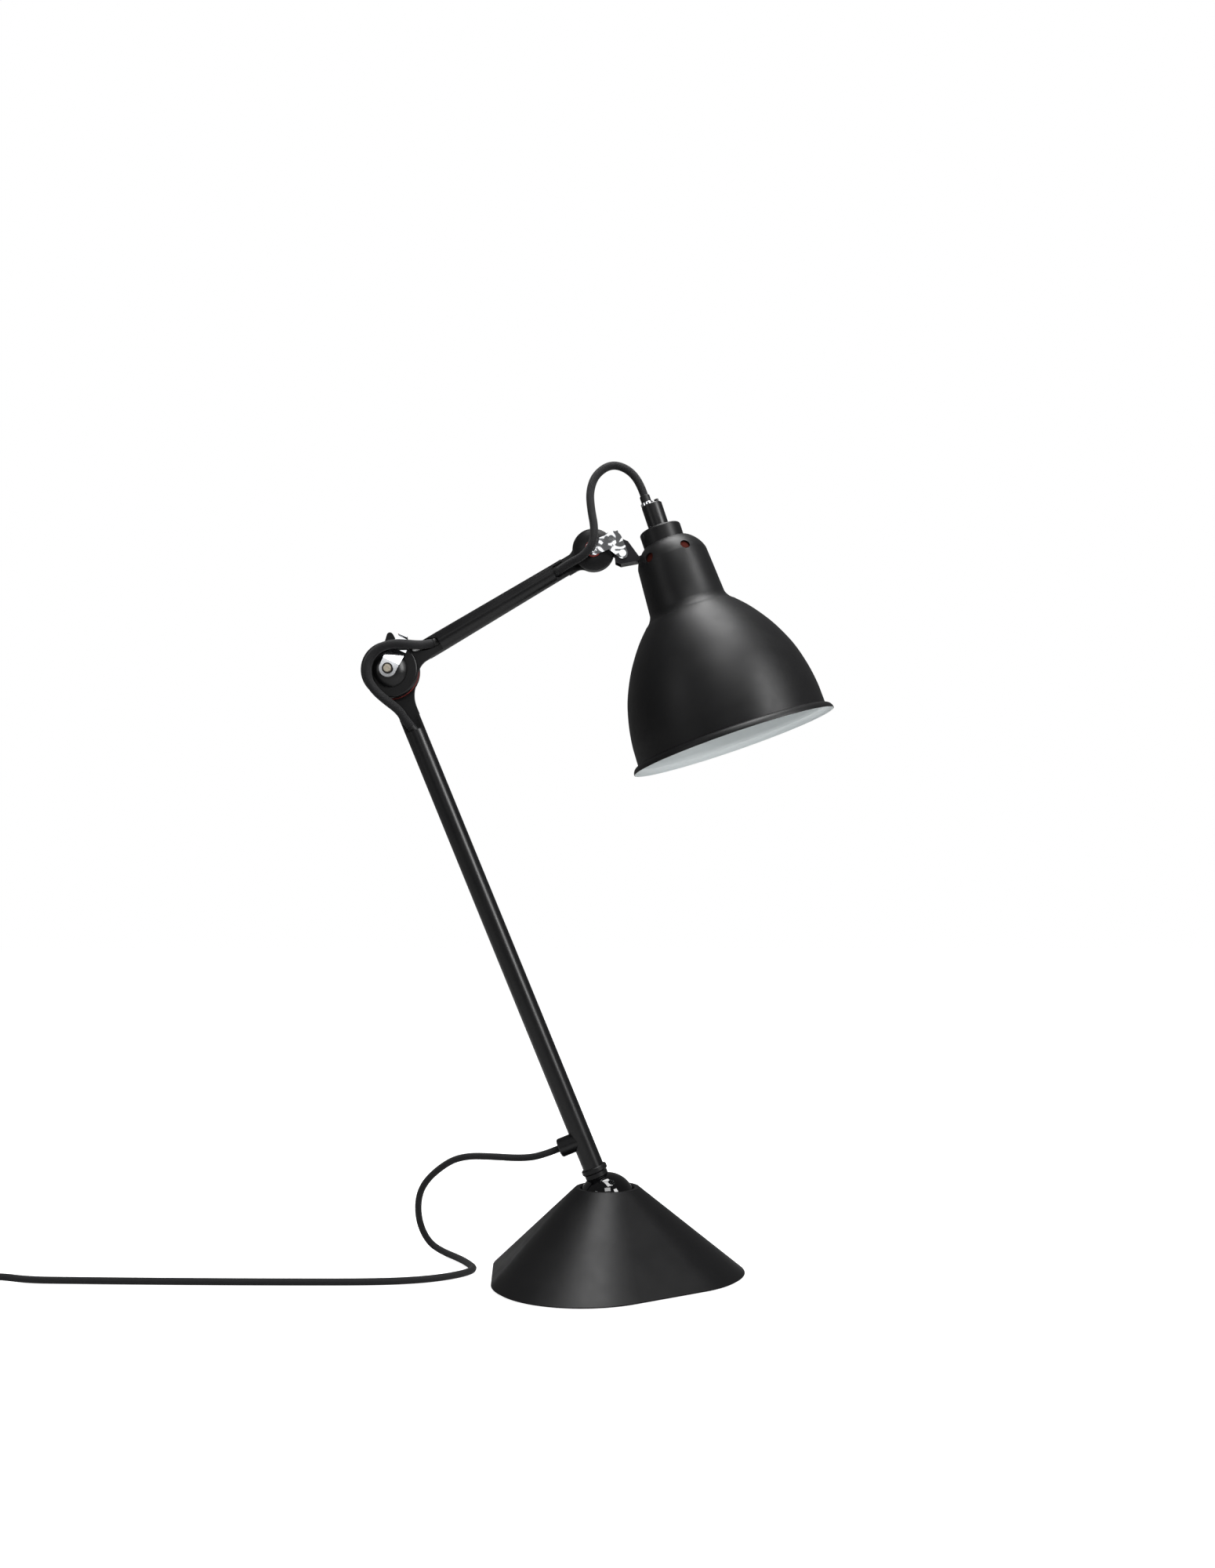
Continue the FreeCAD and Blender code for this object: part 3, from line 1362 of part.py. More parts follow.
def make_switch_case():
    hollow = rounded_block(switch_length - 2 * switch_wall, switch_width - 2 * switch_wall,
                           switch_corner - switch_wall, switch_wall, switch_height - switch_wall, switch_centre)
    base = rounded_block(switch_length, switch_width, switch_corner, 0, switch_entry, switch_centre)
    cover = rounded_block(switch_length, switch_width, switch_corner, switch_entry, switch_height, switch_centre)
    rim_edges = [e for e in cover.Edges if abs(e.BoundBox.ZMin - switch_height) < 0.01
                 and abs(e.BoundBox.ZMax - switch_height) < 0.01]
    cover = cover.makeFillet(2.2, rim_edges)
    half_x = rocker_length / 2 + rocker_play
    half_y = rocker_width / 2 + seat_gap
    window = block(-half_x, half_x, -half_y, half_y, switch_height - switch_wall - 8, switch_height + 1)
    window.translate(switch_centre)
    walls = block(-half_x - 1.5, half_x + 1.5, -half_y - 3, half_y + 3, rocker_axis.z - 3, switch_height - 1)
    walls.translate(switch_centre)
    cover = cover.cut(hollow).fuse(walls).removeSplitter().cut(window)
    pin_reach = rocker_width / 2 + 2.2
    bore = Part.makeCylinder(rocker_pin_radius + running_gap, 2 * pin_reach, rocker_axis - vec(0, pin_reach),
                             vec(0, 1))
    return base.cut(hollow), cover.cut(bore)


def make_rocker():
    """Rocker with two raised ends, its pins in the cover's inner walls."""
    half = rocker_length / 2
    top = switch_height + rocker_rise - rocker_axis.z
    dip = switch_height + 0.4 - rocker_axis.z
    edges = edges_of(
        vec(-half + 0.8, 0, -rocker_depth), vec(half - 0.8, 0, -rocker_depth), vec(half, 0, top),
        (vec(0, 0, dip), vec(-half, 0, top)), vec(-half + 0.8, 0, -rocker_depth),
    )
    body = Part.Face(Part.Wire(edges)).extrude(vec(0, rocker_width))
    body.translate(vec(0, -rocker_width / 2))
    reach = rocker_width / 2 + 2.0
    pins = Part.makeCylinder(rocker_pin_radius, 2 * reach, vec(0, -reach), vec(0, 1))
    rocker = body.fuse(pins).removeSplitter()
    rocker.translate(rocker_axis)
    return rocker


def make_terminals():
    """Two brass screw blocks on the floor of the case."""
    blocks = []
    for way in (-1, 1):
        terminal = block(-4, 4, -3, 3, switch_wall, switch_wall + 5)
        terminal = terminal.cut(Part.makeCylinder(1.2, 8, vec(0, 0, switch_wall + 2)))
        terminal.translate(switch_centre + vec(16 * way, 4.5 * way))
        blocks.append(terminal)
    return blocks


switch_base, switch_cover = make_switch_case()
save("switch_base", switch_base)
save("switch_cover", switch_cover)
save("switch_rocker", make_rocker())
save("switch_terminals", *make_terminals())


# Plug.
plug_thickness = 2 * upper_level
body_start = boot_start + out * plug_boot_length
plug_middle = vec(body_start.x - plug_length / 2, body_start.y)


def pin_spots():
    face = body_start + out * plug_length
    return [face + vec(0, way * pin_spacing / 2) for way in (-1, 1)]


def make_plug_body():
    body = rounded_block(plug_length, plug_width, plug_corner, 0, plug_thickness, plug_middle)
    rims = [e for e in body.Edges if e.BoundBox.ZLength < 0.01]
    body = body.makeFillet(plug_rounding, rims)
    for spot in pin_spots():
        body = body.cut(Part.makeCylinder(pin_root_radius, pin_root, spot - out * pin_root, out))
    return body


def make_pins():
    pins = []
    for spot in pin_spots():
        pin = Part.makeCylinder(pin_radius, pin_length, spot, out)
        tip = [e for e in pin.Edges if e.BoundBox.XMax < spot.x - pin_length + 0.1]
        root = Part.makeCylinder(pin_root_radius, pin_root, spot - out * pin_root, out)
        pins.append(pin.makeFillet(pin_rounding, tip).fuse(root))
    return pins


save("plug_body", make_plug_body())
save("plug_pins", *make_pins())
save("plug_boot", Part.makeCone(mains_diameter / 2 + 0.9, plug_boot_radius, plug_boot_length, boot_start, out))
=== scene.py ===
import math

import bmesh
import bpy
from mathutils import Matrix, Vector


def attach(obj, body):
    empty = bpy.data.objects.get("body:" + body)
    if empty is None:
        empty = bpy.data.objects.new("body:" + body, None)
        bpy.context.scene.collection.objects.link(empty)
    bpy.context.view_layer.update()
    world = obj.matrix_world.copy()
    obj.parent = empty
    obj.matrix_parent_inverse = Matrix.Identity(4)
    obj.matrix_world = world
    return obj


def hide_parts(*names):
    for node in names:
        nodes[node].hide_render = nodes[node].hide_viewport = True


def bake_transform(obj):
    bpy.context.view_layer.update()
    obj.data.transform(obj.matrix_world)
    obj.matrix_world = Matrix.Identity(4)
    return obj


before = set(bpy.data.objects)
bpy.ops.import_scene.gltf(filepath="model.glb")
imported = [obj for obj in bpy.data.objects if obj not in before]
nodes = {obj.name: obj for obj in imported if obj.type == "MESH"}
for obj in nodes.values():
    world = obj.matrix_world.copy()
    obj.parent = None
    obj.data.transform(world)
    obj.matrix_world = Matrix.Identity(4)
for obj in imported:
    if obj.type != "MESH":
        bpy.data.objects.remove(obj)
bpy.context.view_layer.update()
mm = 0.001  # sizes here are in millimetres, the frame is in metres


def linear(hexColour):
    channels = [int(hexColour[i:i + 2], 16) / 255 for i in (1, 3, 5)]
    return [c / 12.92 if c <= 0.04045 else ((c + 0.055) / 1.055) ** 2.4 for c in channels] + [1.0]


def addNode(tree, kind, inputs=None, **settings):
    node = tree.nodes.new(kind)
    for name, value in settings.items():
        setattr(node, name, value)
    for key, value in (inputs or {}).items():
        if isinstance(value, bpy.types.NodeSocket):
            tree.links.new(value, node.inputs[key])
        else:
            node.inputs[key].default_value = value
    return node


def makeMaterial(name, colour, roughness, metallic=0.0, detail=None, **sockets):
    material = bpy.data.materials.new(name)
    material.use_nodes = True
    tree = material.node_tree
    shader = tree.nodes["Principled BSDF"]
    shader.inputs["Base Color"].default_value = linear(colour)
    shader.inputs["Roughness"].default_value = roughness
    shader.inputs["Metallic"].default_value = metallic
    for key, value in sockets.items():
        shader.inputs[key.replace("_", " ")].default_value = value
    if detail:
        detail(tree, shader)
    return material


def grain(scale, depth, roughLow=None, roughHigh=None, stretch=(1, 1, 1)):
    # fine surface noise in real size: scale is in millimetres
    def build(tree, shader):
        place = addNode(tree, "ShaderNodeTexCoord")
        mapping = addNode(tree, "ShaderNodeMapping", {"Vector": place.outputs["Object"], "Scale": stretch})
        noise = addNode(tree, "ShaderNodeTexNoise",
                        {"Vector": mapping.outputs[0], "Scale": 1000 / scale, "Detail": 3.0, "Roughness": 0.6})
        bump = addNode(tree, "ShaderNodeBump",
                       {"Height": noise.outputs["Fac"], "Strength": 1.0, "Distance": depth * mm})
        tree.links.new(bump.outputs["Normal"], shader.inputs["Normal"])
        if roughLow is not None:
            smear = addNode(tree, "ShaderNodeTexNoise",
                            {"Vector": place.outputs["Object"], "Scale": 60.0, "Detail": 4.0, "Roughness": 0.65})
            spread = addNode(tree, "ShaderNodeMapRange",
                             {"Value": smear.outputs["Fac"], "From Min": 0.3, "From Max": 0.7,
                              "To Min": roughLow, "To Max": roughHigh})
            tree.links.new(spread.outputs["Result"], shader.inputs["Roughness"])
    return build


# dark is painted shade in the hollows between the strands, light is painted highlight on their crowns
braid = {
    "strands": 12, "pitch": 1.7, "dark": "#040405", "light": "#18181a",
    "underShare": 0.35, "bump": 0.9, "depth": 0.14, "fuzzScale": 2600.0,
}


def weave(braid):
    # braid over a round cord: two sets of strands that pass over and under each other
    def build(tree, shader):
        around = addNode(tree, "ShaderNodeAttribute", attribute_name="around")
        along = addNode(tree, "ShaderNodeAttribute", attribute_name="along")
        xyz = addNode(tree, "ShaderNodeSeparateXYZ", {"Vector": around.outputs["Vector"]})
        angle = addNode(tree, "ShaderNodeMath", {0: xyz.outputs["X"], 1: xyz.outputs["Y"]}, operation="ARCTAN2")
        turn = addNode(tree, "ShaderNodeMath", {0: angle.outputs[0], 1: braid["strands"] / (2 * math.pi)}, operation="MULTIPLY")
        step = addNode(tree, "ShaderNodeMath", {0: along.outputs["Fac"], 1: 1 / (braid["pitch"] * mm)}, operation="MULTIPLY")
        heights = []
        cells = []
        for way in ("ADD", "SUBTRACT"):
            strand = addNode(tree, "ShaderNodeMath", {0: turn.outputs[0], 1: step.outputs[0]}, operation=way)
            cells.append(addNode(tree, "ShaderNodeMath", {0: strand.outputs[0]}, operation="FLOOR"))
            share = addNode(tree, "ShaderNodeMath", {0: strand.outputs[0]}, operation="FRACT")
            arch = addNode(tree, "ShaderNodeMath", {0: share.outputs[0], 1: math.pi}, operation="MULTIPLY")
            heights.append(addNode(tree, "ShaderNodeMath", {0: arch.outputs[0]}, operation="SINE"))
        total = addNode(tree, "ShaderNodeMath", {0: cells[0].outputs[0], 1: cells[1].outputs[0]}, operation="ADD")
        parity = addNode(tree, "ShaderNodeMath", {0: total.outputs[0], 1: 2.0}, operation="FLOORED_MODULO")
        over = addNode(tree, "ShaderNodeMix",
                       {0: parity.outputs[0], 2: heights[0].outputs[0], 3: heights[1].outputs[0]})
        under = addNode(tree, "ShaderNodeMix",
                        {0: parity.outputs[0], 2: heights[1].outputs[0], 3: heights[0].outputs[0]})
        low = addNode(tree, "ShaderNodeMath", {0: under.outputs[0], 1: braid["underShare"]}, operation="MULTIPLY")
        height = addNode(tree, "ShaderNodeMath", {0: over.outputs[0], 1: low.outputs[0]}, operation="ADD")
        bump = addNode(tree, "ShaderNodeBump",
                       {"Height": height.outputs[0], "Strength": braid["bump"], "Distance": braid["depth"] * mm})
        tree.links.new(bump.outputs["Normal"], shader.inputs["Normal"])
        # painted highlight and painted shade: the colour follows the strands' height, light on the crowns and dark in
        # the hollows, speckled by fibre noise
        place = addNode(tree, "ShaderNodeTexCoord")
        fuzz = addNode(tree, "ShaderNodeTexNoise",
                       {"Vector": place.outputs["Object"], "Scale": braid["fuzzScale"], "Detail": 2.0})
        level = addNode(tree, "ShaderNodeMath", {0: height.outputs[0], 1: fuzz.outputs["Fac"]}, operation="MULTIPLY")
        colour = addNode(tree, "ShaderNodeMix",
                         {0: level.outputs[0], 6: linear(braid["dark"]), 7: linear(braid["light"])}, data_type="RGBA")
        tree.links.new(colour.outputs[2], shader.inputs["Base Color"])
    return build


def turned(scale, depth):
    # faint rings of a lathe-turned face
    return grain(scale, depth, stretch=(1, 1, 0.05))


def dents(scale, depth):
    # shallow waves left by the press, without finer noise
    def build(tree, shader):
        place = addNode(tree, "ShaderNodeTexCoord")
        wave = addNode(tree, "ShaderNodeTexNoise",
                       {"Vector": place.outputs["Object"], "Scale": 1000 / scale, "Detail": 0.0})
        bump = addNode(tree, "ShaderNodeBump",
                       {"Height": wave.outputs["Fac"], "Strength": 1.0, "Distance": depth * mm})
        tree.links.new(bump.outputs["Normal"], shader.inputs["Normal"])
    return build


def darkRing(place, inner, outer, rim):
    # a ring of shadow round the middle of a screw's head; its axis lies along Y
    def build(tree, shader):
        grain(0.9, 0.004)(tree, shader)
        where = addNode(tree, "ShaderNodeTexCoord")
        offset = addNode(tree, "ShaderNodeVectorMath",
                         {0: where.outputs["Object"], 1: [-v * mm for v in place]}, operation="ADD")
        flat = addNode(tree, "ShaderNodeVectorMath", {0: offset.outputs[0], 1: (1, 0, 1)}, operation="MULTIPLY")
        reach = addNode(tree, "ShaderNodeVectorMath", {0: flat.outputs[0]}, operation="LENGTH")
        share = addNode(tree, "ShaderNodeMapRange",
                        {"Value": reach.outputs["Value"], "From Min": inner * mm, "From Max": outer * mm})
        colour = addNode(tree, "ShaderNodeMix", {0: share.outputs["Result"], 6: shader.inputs["Base Color"].default_value,
                                                 7: linear(rim)}, data_type="RGBA")
        tree.links.new(colour.outputs[2], shader.inputs["Base Color"])
    return build


# satin powder coat on spun and turned metal: near black, wide soft highlights
blackPaint = makeMaterial("blackPaint", "#0b0b0c", 0.44,
                          detail=grain(0.55, 0.004, 0.4, 0.48), Specular_IOR_Level=0.22)
# the same coat on drawn tube, a little smoother
stemPaint = makeMaterial("stemPaint", "#0a0a0b", 0.3,
                         detail=grain(0.6, 0.003, 0.27, 0.34), Specular_IOR_Level=0.3)
# polished enamel: a mirror-like black that shows the lights as white panes
ballEnamel = makeMaterial("ballEnamel", "#040405", 0.05, detail=grain(4.0, 0.0008), Specular_IOR_Level=0.5)
# blackened steel with a faint sheen
darkBracket = makeMaterial("darkBracket", "#17161a", 0.28, 0.6, detail=grain(0.9, 0.006, 0.22, 0.36))
# white stoving enamel, slightly cool, as sprayed inside reflectors
shadeInside = makeMaterial("shadeInside", "#d2d8d9", 0.4, detail=grain(0.7, 0.004, 0.36, 0.46))
# red-brown vulcanised fibre behind the vents
ventFibre = makeMaterial("ventFibre", "#330d07", 0.85, detail=grain(0.5, 0.01), Specular_IOR_Level=0.08)
# bright chrome plate, nearly a mirror
chrome = makeMaterial("chrome", "#e3e5e8", 0.07, 1.0, detail=grain(1.6, 0.0012, 0.05, 0.11))
# the same plate on a pressed strap, whose soft dents break up what it mirrors
pressedChrome = makeMaterial("pressedChrome", "#dcdee1", 0.09, 1.0, detail=dents(7.0, 1.2))
# plain turned and pressed steel
plainSteel = makeMaterial("plainSteel", "#8d8f93", 0.36, 1.0, detail=turned(0.8, 0.004))
# nickelled brass, pale and warm
brass = makeMaterial("brass", "#b6a680", 0.26, 1.0, detail=grain(0.9, 0.004, 0.2, 0.34))
# nickelled bolt head, turned: pale and warm, with a ring of shadow round its middle
boltHead = makeMaterial("boltHead", "#d8cfbc", 0.2, 1.0,
                        detail=darkRing((-144.92, 0, 403.51), 2.2, 2.9, "#2c2a28"))
# dark red vulcanised fibre washers
redFibre = makeMaterial("redFibre", "#7a2018", 0.6, detail=grain(0.35, 0.02))
# rough grey iron as cast
castIron = makeMaterial("castIron", "#2c2c2d", 0.78, 0.6, detail=grain(1.4, 0.12, 0.7, 0.9))
# dull rubber sheet under the base: almost no highlight
footRubber = makeMaterial("footRubber", "#141414", 0.86, detail=grain(0.8, 0.03), Specular_IOR_Level=0.25)
# moulded rubber of boots and bushes: matt black with a weak, wide highlight
blackRubber = makeMaterial("blackRubber", "#0a0a0b", 0.5,
                           detail=grain(0.5, 0.008, 0.46, 0.56), Specular_IOR_Level=0.3)
# black moulded thermoset, finely spark-eroded
blackMoulding = makeMaterial("blackMoulding", "#0c0c0d", 0.36,
                             detail=grain(0.35, 0.008, 0.31, 0.42), Specular_IOR_Level=0.3)
# ivory moulding of the lampholder's core: pale, half gloss
holderMoulding = makeMaterial("holderMoulding", "#d8d3c6", 0.45, detail=grain(0.8, 0.008))
# opal bulb glass: milky and smooth, a quarter of the light goes in
opalGlass = makeMaterial("opalGlass", "#efece4", 0.16, detail=grain(6.0, 0.003), Transmission_Weight=0.25)
# black cotton braid over the cord: two sets of strands, seen as a fine diamond pattern
# drawn a little coarser than the real thread so that it shows
# the strands carry a painted highlight on their crowns and painted shade in the hollows between them
cordBraid = makeMaterial("cordBraid", "#0b0b0c", 0.74, detail=weave(braid),
                         Sheen_Weight=0.08, Sheen_Roughness=0.5, Specular_IOR_Level=0.2)
cadLooks = {
    "blackPaint": ["base_shell", "stem_collar", "shade_cap", "elbow_lever"],
    "stemPaint": ["stem_tube", "cord_outlet", "stem_knuckle", "arm_knuckle", "arm_tube", "head_knuckle"],
    "ballEnamel": ["ball"],
    "darkBracket": ["shade_bracket"],
    "pressedChrome": ["head_stirrup"],
    "chrome": ["elbow_clip", "head_bolt", "head_nut", "bracket_rivets", "gland_ring", "elbow_nut",
               "plug_pins"],
    "plainSteel": ["socket_housing", "housing_screws", "socket_cup", "socket_springs", "tension_screw", "ball_retainer",
                   "base_screws", "holder_nipple"],
    "brass": ["switch_terminals", "bulb_cap"],
    "boltHead": ["elbow_bolt"],
    "redFibre": ["elbow_washer", "head_washers"],
    "castIron": ["base_weight"],
    "footRubber": ["base_pad"],
    "blackRubber": ["outlet_bush", "stem_boot", "arm_boot", "arm_top_boot", "head_boot", "plug_boot", "stem_lead",
                    "arm_lead"],
    "blackMoulding": ["cord_gland", "switch_base", "switch_cover", "switch_rocker", "plug_body", "lampholder_shell"],
    "holderMoulding": ["lampholder_core"],
    "opalGlass": ["bulb_glass"],
}
for look, names in cadLooks.items():
    for name in names:
        nodes[name].data.materials.clear()
        nodes[name].data.materials.append(bpy.data.materials[look])
print("materials done")


view = {"place": (0.0272, -1.0036, 0.2452), "lens": 34.43, "sensor": 36.0, "shift": (-0.0257, 0.0788)}
cameraData = bpy.data.cameras.new("camera")
cameraData.lens = view["lens"]
cameraData.sensor_width = view["sensor"]
cameraData.shift_x, cameraData.shift_y = view["shift"]
camera = bpy.data.objects.new("camera", cameraData)
camera.location = view["place"]
camera.rotation_euler = (math.pi / 2, 0, 0)
bpy.context.scene.collection.objects.link(camera)
bpy.context.scene.camera = camera


def cordTubeGroup():
    group = bpy.data.node_groups.new("cordTube", "GeometryNodeTree")
    face = group.interface
    face.new_socket("Line", in_out="INPUT", socket_type="NodeSocketGeometry")
    face.new_socket("Radius", in_out="INPUT", socket_type="NodeSocketFloat")
    face.new_socket("Material", in_out="INPUT", socket_type="NodeSocketMaterial")
    face.new_socket("Tube", in_out="OUTPUT", socket_type="NodeSocketGeometry")
    given = addNode(group, "NodeGroupInput")
    spot = addNode(group, "GeometryNodeSplineParameter")
    line = addNode(group, "GeometryNodeStoreNamedAttribute",
                   {"Geometry": given.outputs["Line"], "Name": "along", "Value": spot.outputs["Length"]},
                   data_type="FLOAT", domain="POINT")
    ring = addNode(group, "GeometryNodeCurvePrimitiveCircle", {"Resolution": 24, "Radius": given.outputs["Radius"]})
    where = addNode(group, "GeometryNodeInputPosition")
    section = addNode(group, "GeometryNodeStoreNamedAttribute",
                      {"Geometry": ring.outputs["Curve"], "Name": "around"}, data_type="FLOAT_VECTOR", domain="POINT")
    group.links.new(where.outputs[0], section.inputs["Value"])
    tube = addNode(group, "GeometryNodeCurveToMesh",
                   {"Curve": line.outputs["Geometry"], "Profile Curve": section.outputs["Geometry"],
                    "Fill Caps": True})
    smooth = addNode(group, "GeometryNodeSetShadeSmooth", {"Geometry": tube.outputs["Mesh"]})
    real = addNode(group, "GeometryNodeRealizeInstances", {"Geometry": smooth.outputs["Geometry"]})
    painted = addNode(group, "GeometryNodeSetMaterial",
                      {"Geometry": real.outputs["Geometry"], "Material": given.outputs["Material"]})
    out = addNode(group, "NodeGroupOutput")
    group.links.new(painted.outputs["Geometry"], out.inputs["Tube"])
    return group


cordTube = cordTubeGroup()


def routeCurve(name, route):
    data = bpy.data.curves.new(name, "CURVE")
    data.dimensions = "3D"
    data.resolution_u = 10
    spline = data.splines.new("NURBS")
    spline.points.add(len(route) - 1)
    for point, place in zip(spline.points, route):
        point.co = (*[v * mm for v in place], 1.0)
    spline.order_u = 3
    spline.use_endpoint_u = True
    curve = bpy.data.objects.new(name, data)
    bpy.context.scene.collection.objects.link(curve)
    return curve


def asMesh(name, source):
    dg = bpy.context.evaluated_depsgraph_get()
    mesh = bpy.data.meshes.new_from_object(source.evaluated_get(dg), preserve_all_data_layers=True, depsgraph=dg)
    made = bpy.data.objects.new(name, mesh)
    bpy.context.scene.collection.objects.link(made)
    return made


def makeCord(cord):
    # a braided tube along a spline through the route's points
    curve = routeCurve(cord["name"] + "Line", cord["route"])
    line = bpy.data.meshes.new_from_object(curve)
    bpy.data.meshes.remove(line)
    modifier = curve.modifiers.new("tube", "NODES")
    modifier.node_group = cordTube
    ids = {item.name: item.identifier for item in cordTube.interface.items_tree if item.in_out == "INPUT"}
    modifier[ids["Radius"]] = cord["diameter"] / 2 * mm
    modifier[ids["Material"]] = cordBraid
    tube = asMesh(cord["name"], curve)
    bpy.data.objects.remove(curve)
    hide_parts(cord["node"])
    if "bend" in cord:
        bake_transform(tube)
    else:
        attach(tube, cord["body"])


mains = 4.6  # diameter of the mains cord
makeCord({
    "name": "elbowCord", "node": "elbow_cord", "diameter": 5.9, "end": "object", "lay": "loose",
    "bend": {"bodies": ("stem", "arm"), "start": (-150, 0, 372), "end": (-150, 0, 414)},
    "route": [(-131.16, -1.58, 366.3), (-134.78, -3.62, 370.57), (-138.3, -6.3, 376.5), (-146.6, -10.3, 382.7),
              (-153.6, -11.0, 388.9), (-157.9, -11.1, 395.6), (-158.9, -11.0, 402.6), (-157.6, -11.0, 409.2),
              (-153.9, -11.3, 414.3), (-148.1, -12.2, 418.1), (-140.4, -12.3, 419.8), (-132.6, -11.8, 419.6),
              (-126.8, -8.4, 419.6), (-122.18, -3.79, 420.39), (-116.31, -1.58, 421.93)],
})
makeCord({
    "name": "headCord", "node": "head_cord", "diameter": 5.4, "end": "object", "lay": "loose",
    "bend": {"bodies": ("arm", "head"), "start": (-12, 0, 500), "end": (26, 0, 500)},
    "route": [(-32.11, -1.58, 470.61), (-25.84, -4.24, 474.34), (-16.5, -9.4, 477.6), (-9.3, -11.9, 485.0),
              (-7.9, -11.2, 496.0), (-10.5, -8.6, 509.6), (-11.5, -6.2, 522.0), (-7.8, -3.4, 533.9),
              (2.5, -1.2, 541.7), (13.8, -0.3, 538.8), (21.83, 0.0, 529.76), (24.89, 0.0, 520.66)],
})
makeCord({
    "name": "leadCord", "node": "mains_cord_lead", "diameter": mains, "end": "object", "lay": "loose",
    "bend": {"bodies": ("stem", "ball"), "start": (-34, 0, 80), "end": (-66, 0, 80)},
    "route": [(-32.01, 0.0, 83.98), (-43.02, 0.0, 79.48), (-56.5, 3.6, 76.7), (-68.5, 6.8, 76.9)],
})
makeCord({
    "name": "bridgeCord", "node": "mains_cord_bridge", "diameter": mains, "end": "object", "lay": "loose",
    "bend": {"bodies": ("ball", "socket_cup"), "start": (-70, 0, 80), "end": (-114, 0, 80)},
    "route": [(-68.5, 6.8, 76.9), (-80.5, 10.0, 77.1), (-95.6, 15.2, 76.4), (-108.8, 22.2, 71.8),
              (-117.3, 28.2, 64.6)],
})
makeCord({
    "name": "dropCord", "node": "mains_cord_drop", "diameter": mains, "end": "object", "lay": "loose",
    "bend": {"bodies": ("socket_cup", "base"), "start": (-125, 0, 62), "end": (-125, 0, 6)},
    "route": [(-117.3, 28.2, 64.6), (-124.95, 33.6, 58.12), (-132.4, 41.2, 45.4), (-134.4, 50.4, 28.6),
              (-130.9, 57.0, 13.4), (-122.6, 57.4, 3.73), (-110.5, 43.0, 2.88)],
})
makeCord({
    "name": "floorCord", "node": "mains_cord_floor", "diameter": mains, "end": "object", "lay": "loose",
    "body": "base",
    "route": [(-110.5, 43.0, 2.88), (-102.96, 34.03, 2.35), (-94.6, 18.4, 2.35), (-88.4, 2.6, 2.35),
              (-99.0, -13.0, 2.35), (-119.0, -25.0, 2.35), (-149.0, -30.8, 2.35), (-203.0, -30.9, 2.35),
              (-258.0, -30.0, 2.35), (-306.0, -28.5, 2.35), (-348.0, -26.8, 2.35), (-377.0, -25.4, 2.35),
              (-396.0, -24.6, 4.5), (-410.0, -24.6, 4.5)],
})


def coilRoute(coil):
    # control points of a coil that spirals in on the floor and out again on top
    route = list(coil["leadIn"])
    total = int(round(2 * coil["turns"] * coil["perTurn"]))
    swell = 1 / math.cos(math.pi / coil["perTurn"])
    for k in range(total + 1):
        turns = k / coil["perTurn"]
        radius = coil["radius"] - coil["step"] * (coil["turns"] - abs(turns - coil["turns"]))
        climb = min(1.0, max(0.0, (turns - coil["turns"]) * 2 + 0.5))
        level = coil["level"] + coil["step"] * climb * climb * (3 - 2 * climb)
        angle = math.pi / 2 + turns * 2 * math.pi
        reach = radius * (swell if 0 < k < total else 1.0)
        route.append((coil["centre"][0] + reach * math.cos(angle), coil["centre"][1] + reach * math.sin(angle),
                      level))
    return route + list(coil["tail"])


coil = {
    "centre": (-495.0, -59.6), "radius": 35.0, "step": 5.3, "turns": 3, "perTurn": 16, "level": 2.35,
    "leadIn": [(-464.0, -24.6, 4.5), (-470.0, -24.6, 4.5), (-479.0, -24.6, 3.5), (-487.5, -24.6, 2.35)],
    "tail": [(-502.0, -24.6, 7.65), (-508.5, -24.6, 7.65), (-515.0, -24.6, 7.65)],
}
makeCord({
    "name": "coilCord", "node": "mains_cord_coil", "diameter": mains, "end": "plug", "lay": "coiled", "body": "base",
    "route": coilRoute(coil),
    "pieces": [nodes[n] for n in ("plug_boot", "plug_body", "plug_pins")],
})
print("cords done")


shadeSeat = {
    "ballHeight": 49.1, "stemLean": 22.24, "stemReach": 382.9, "armRise": 30.74, "armReach": 157.9,
    "lean": 18.6, "rimOut": 48.04, "rimDrop": 151.65,
}


def shadeMatrix():
    # sets the shade, drawn upright on its rim, at the head joint
    lean = math.radians(shadeSeat["lean"])
    axis = Vector((-math.sin(lean), 0, math.cos(lean)))
    side = Vector((math.cos(lean), 0, math.sin(lean)))
    stemLean = math.radians(shadeSeat["stemLean"])
    armRise = math.radians(shadeSeat["armRise"])
    up = Vector((-math.sin(stemLean), 0, math.cos(stemLean)))
    elbow = Vector((0, 0, shadeSeat["ballHeight"])) + up * shadeSeat["stemReach"]
    head = elbow + Vector((math.cos(armRise), 0, math.sin(armRise))) * shadeSeat["armReach"]
    rim = (head + side * shadeSeat["rimOut"] - axis * shadeSeat["rimDrop"]) * mm
    turn = Matrix((side, Vector((0, 1, 0)), axis)).transposed()
    return Matrix.Translation(rim) @ turn.to_4x4()


def throughPoints(points, steps):
    # smooth line through the points, evenly divided between each pair
    padded = [points[0] * 2 - points[1], *points, points[-1] * 2 - points[-2]]
    line = []
    for a, b, c, d in zip(padded, padded[1:], padded[2:], padded[3:]):
        for k in range(steps):
            t = k / steps
            line.append(0.5 * (2 * b + (c - a) * t + (2 * a - 5 * b + 4 * c - d) * t * t
                               + (3 * b - a - 3 * c + d) * t * t * t))
    return line + [points[-1]]


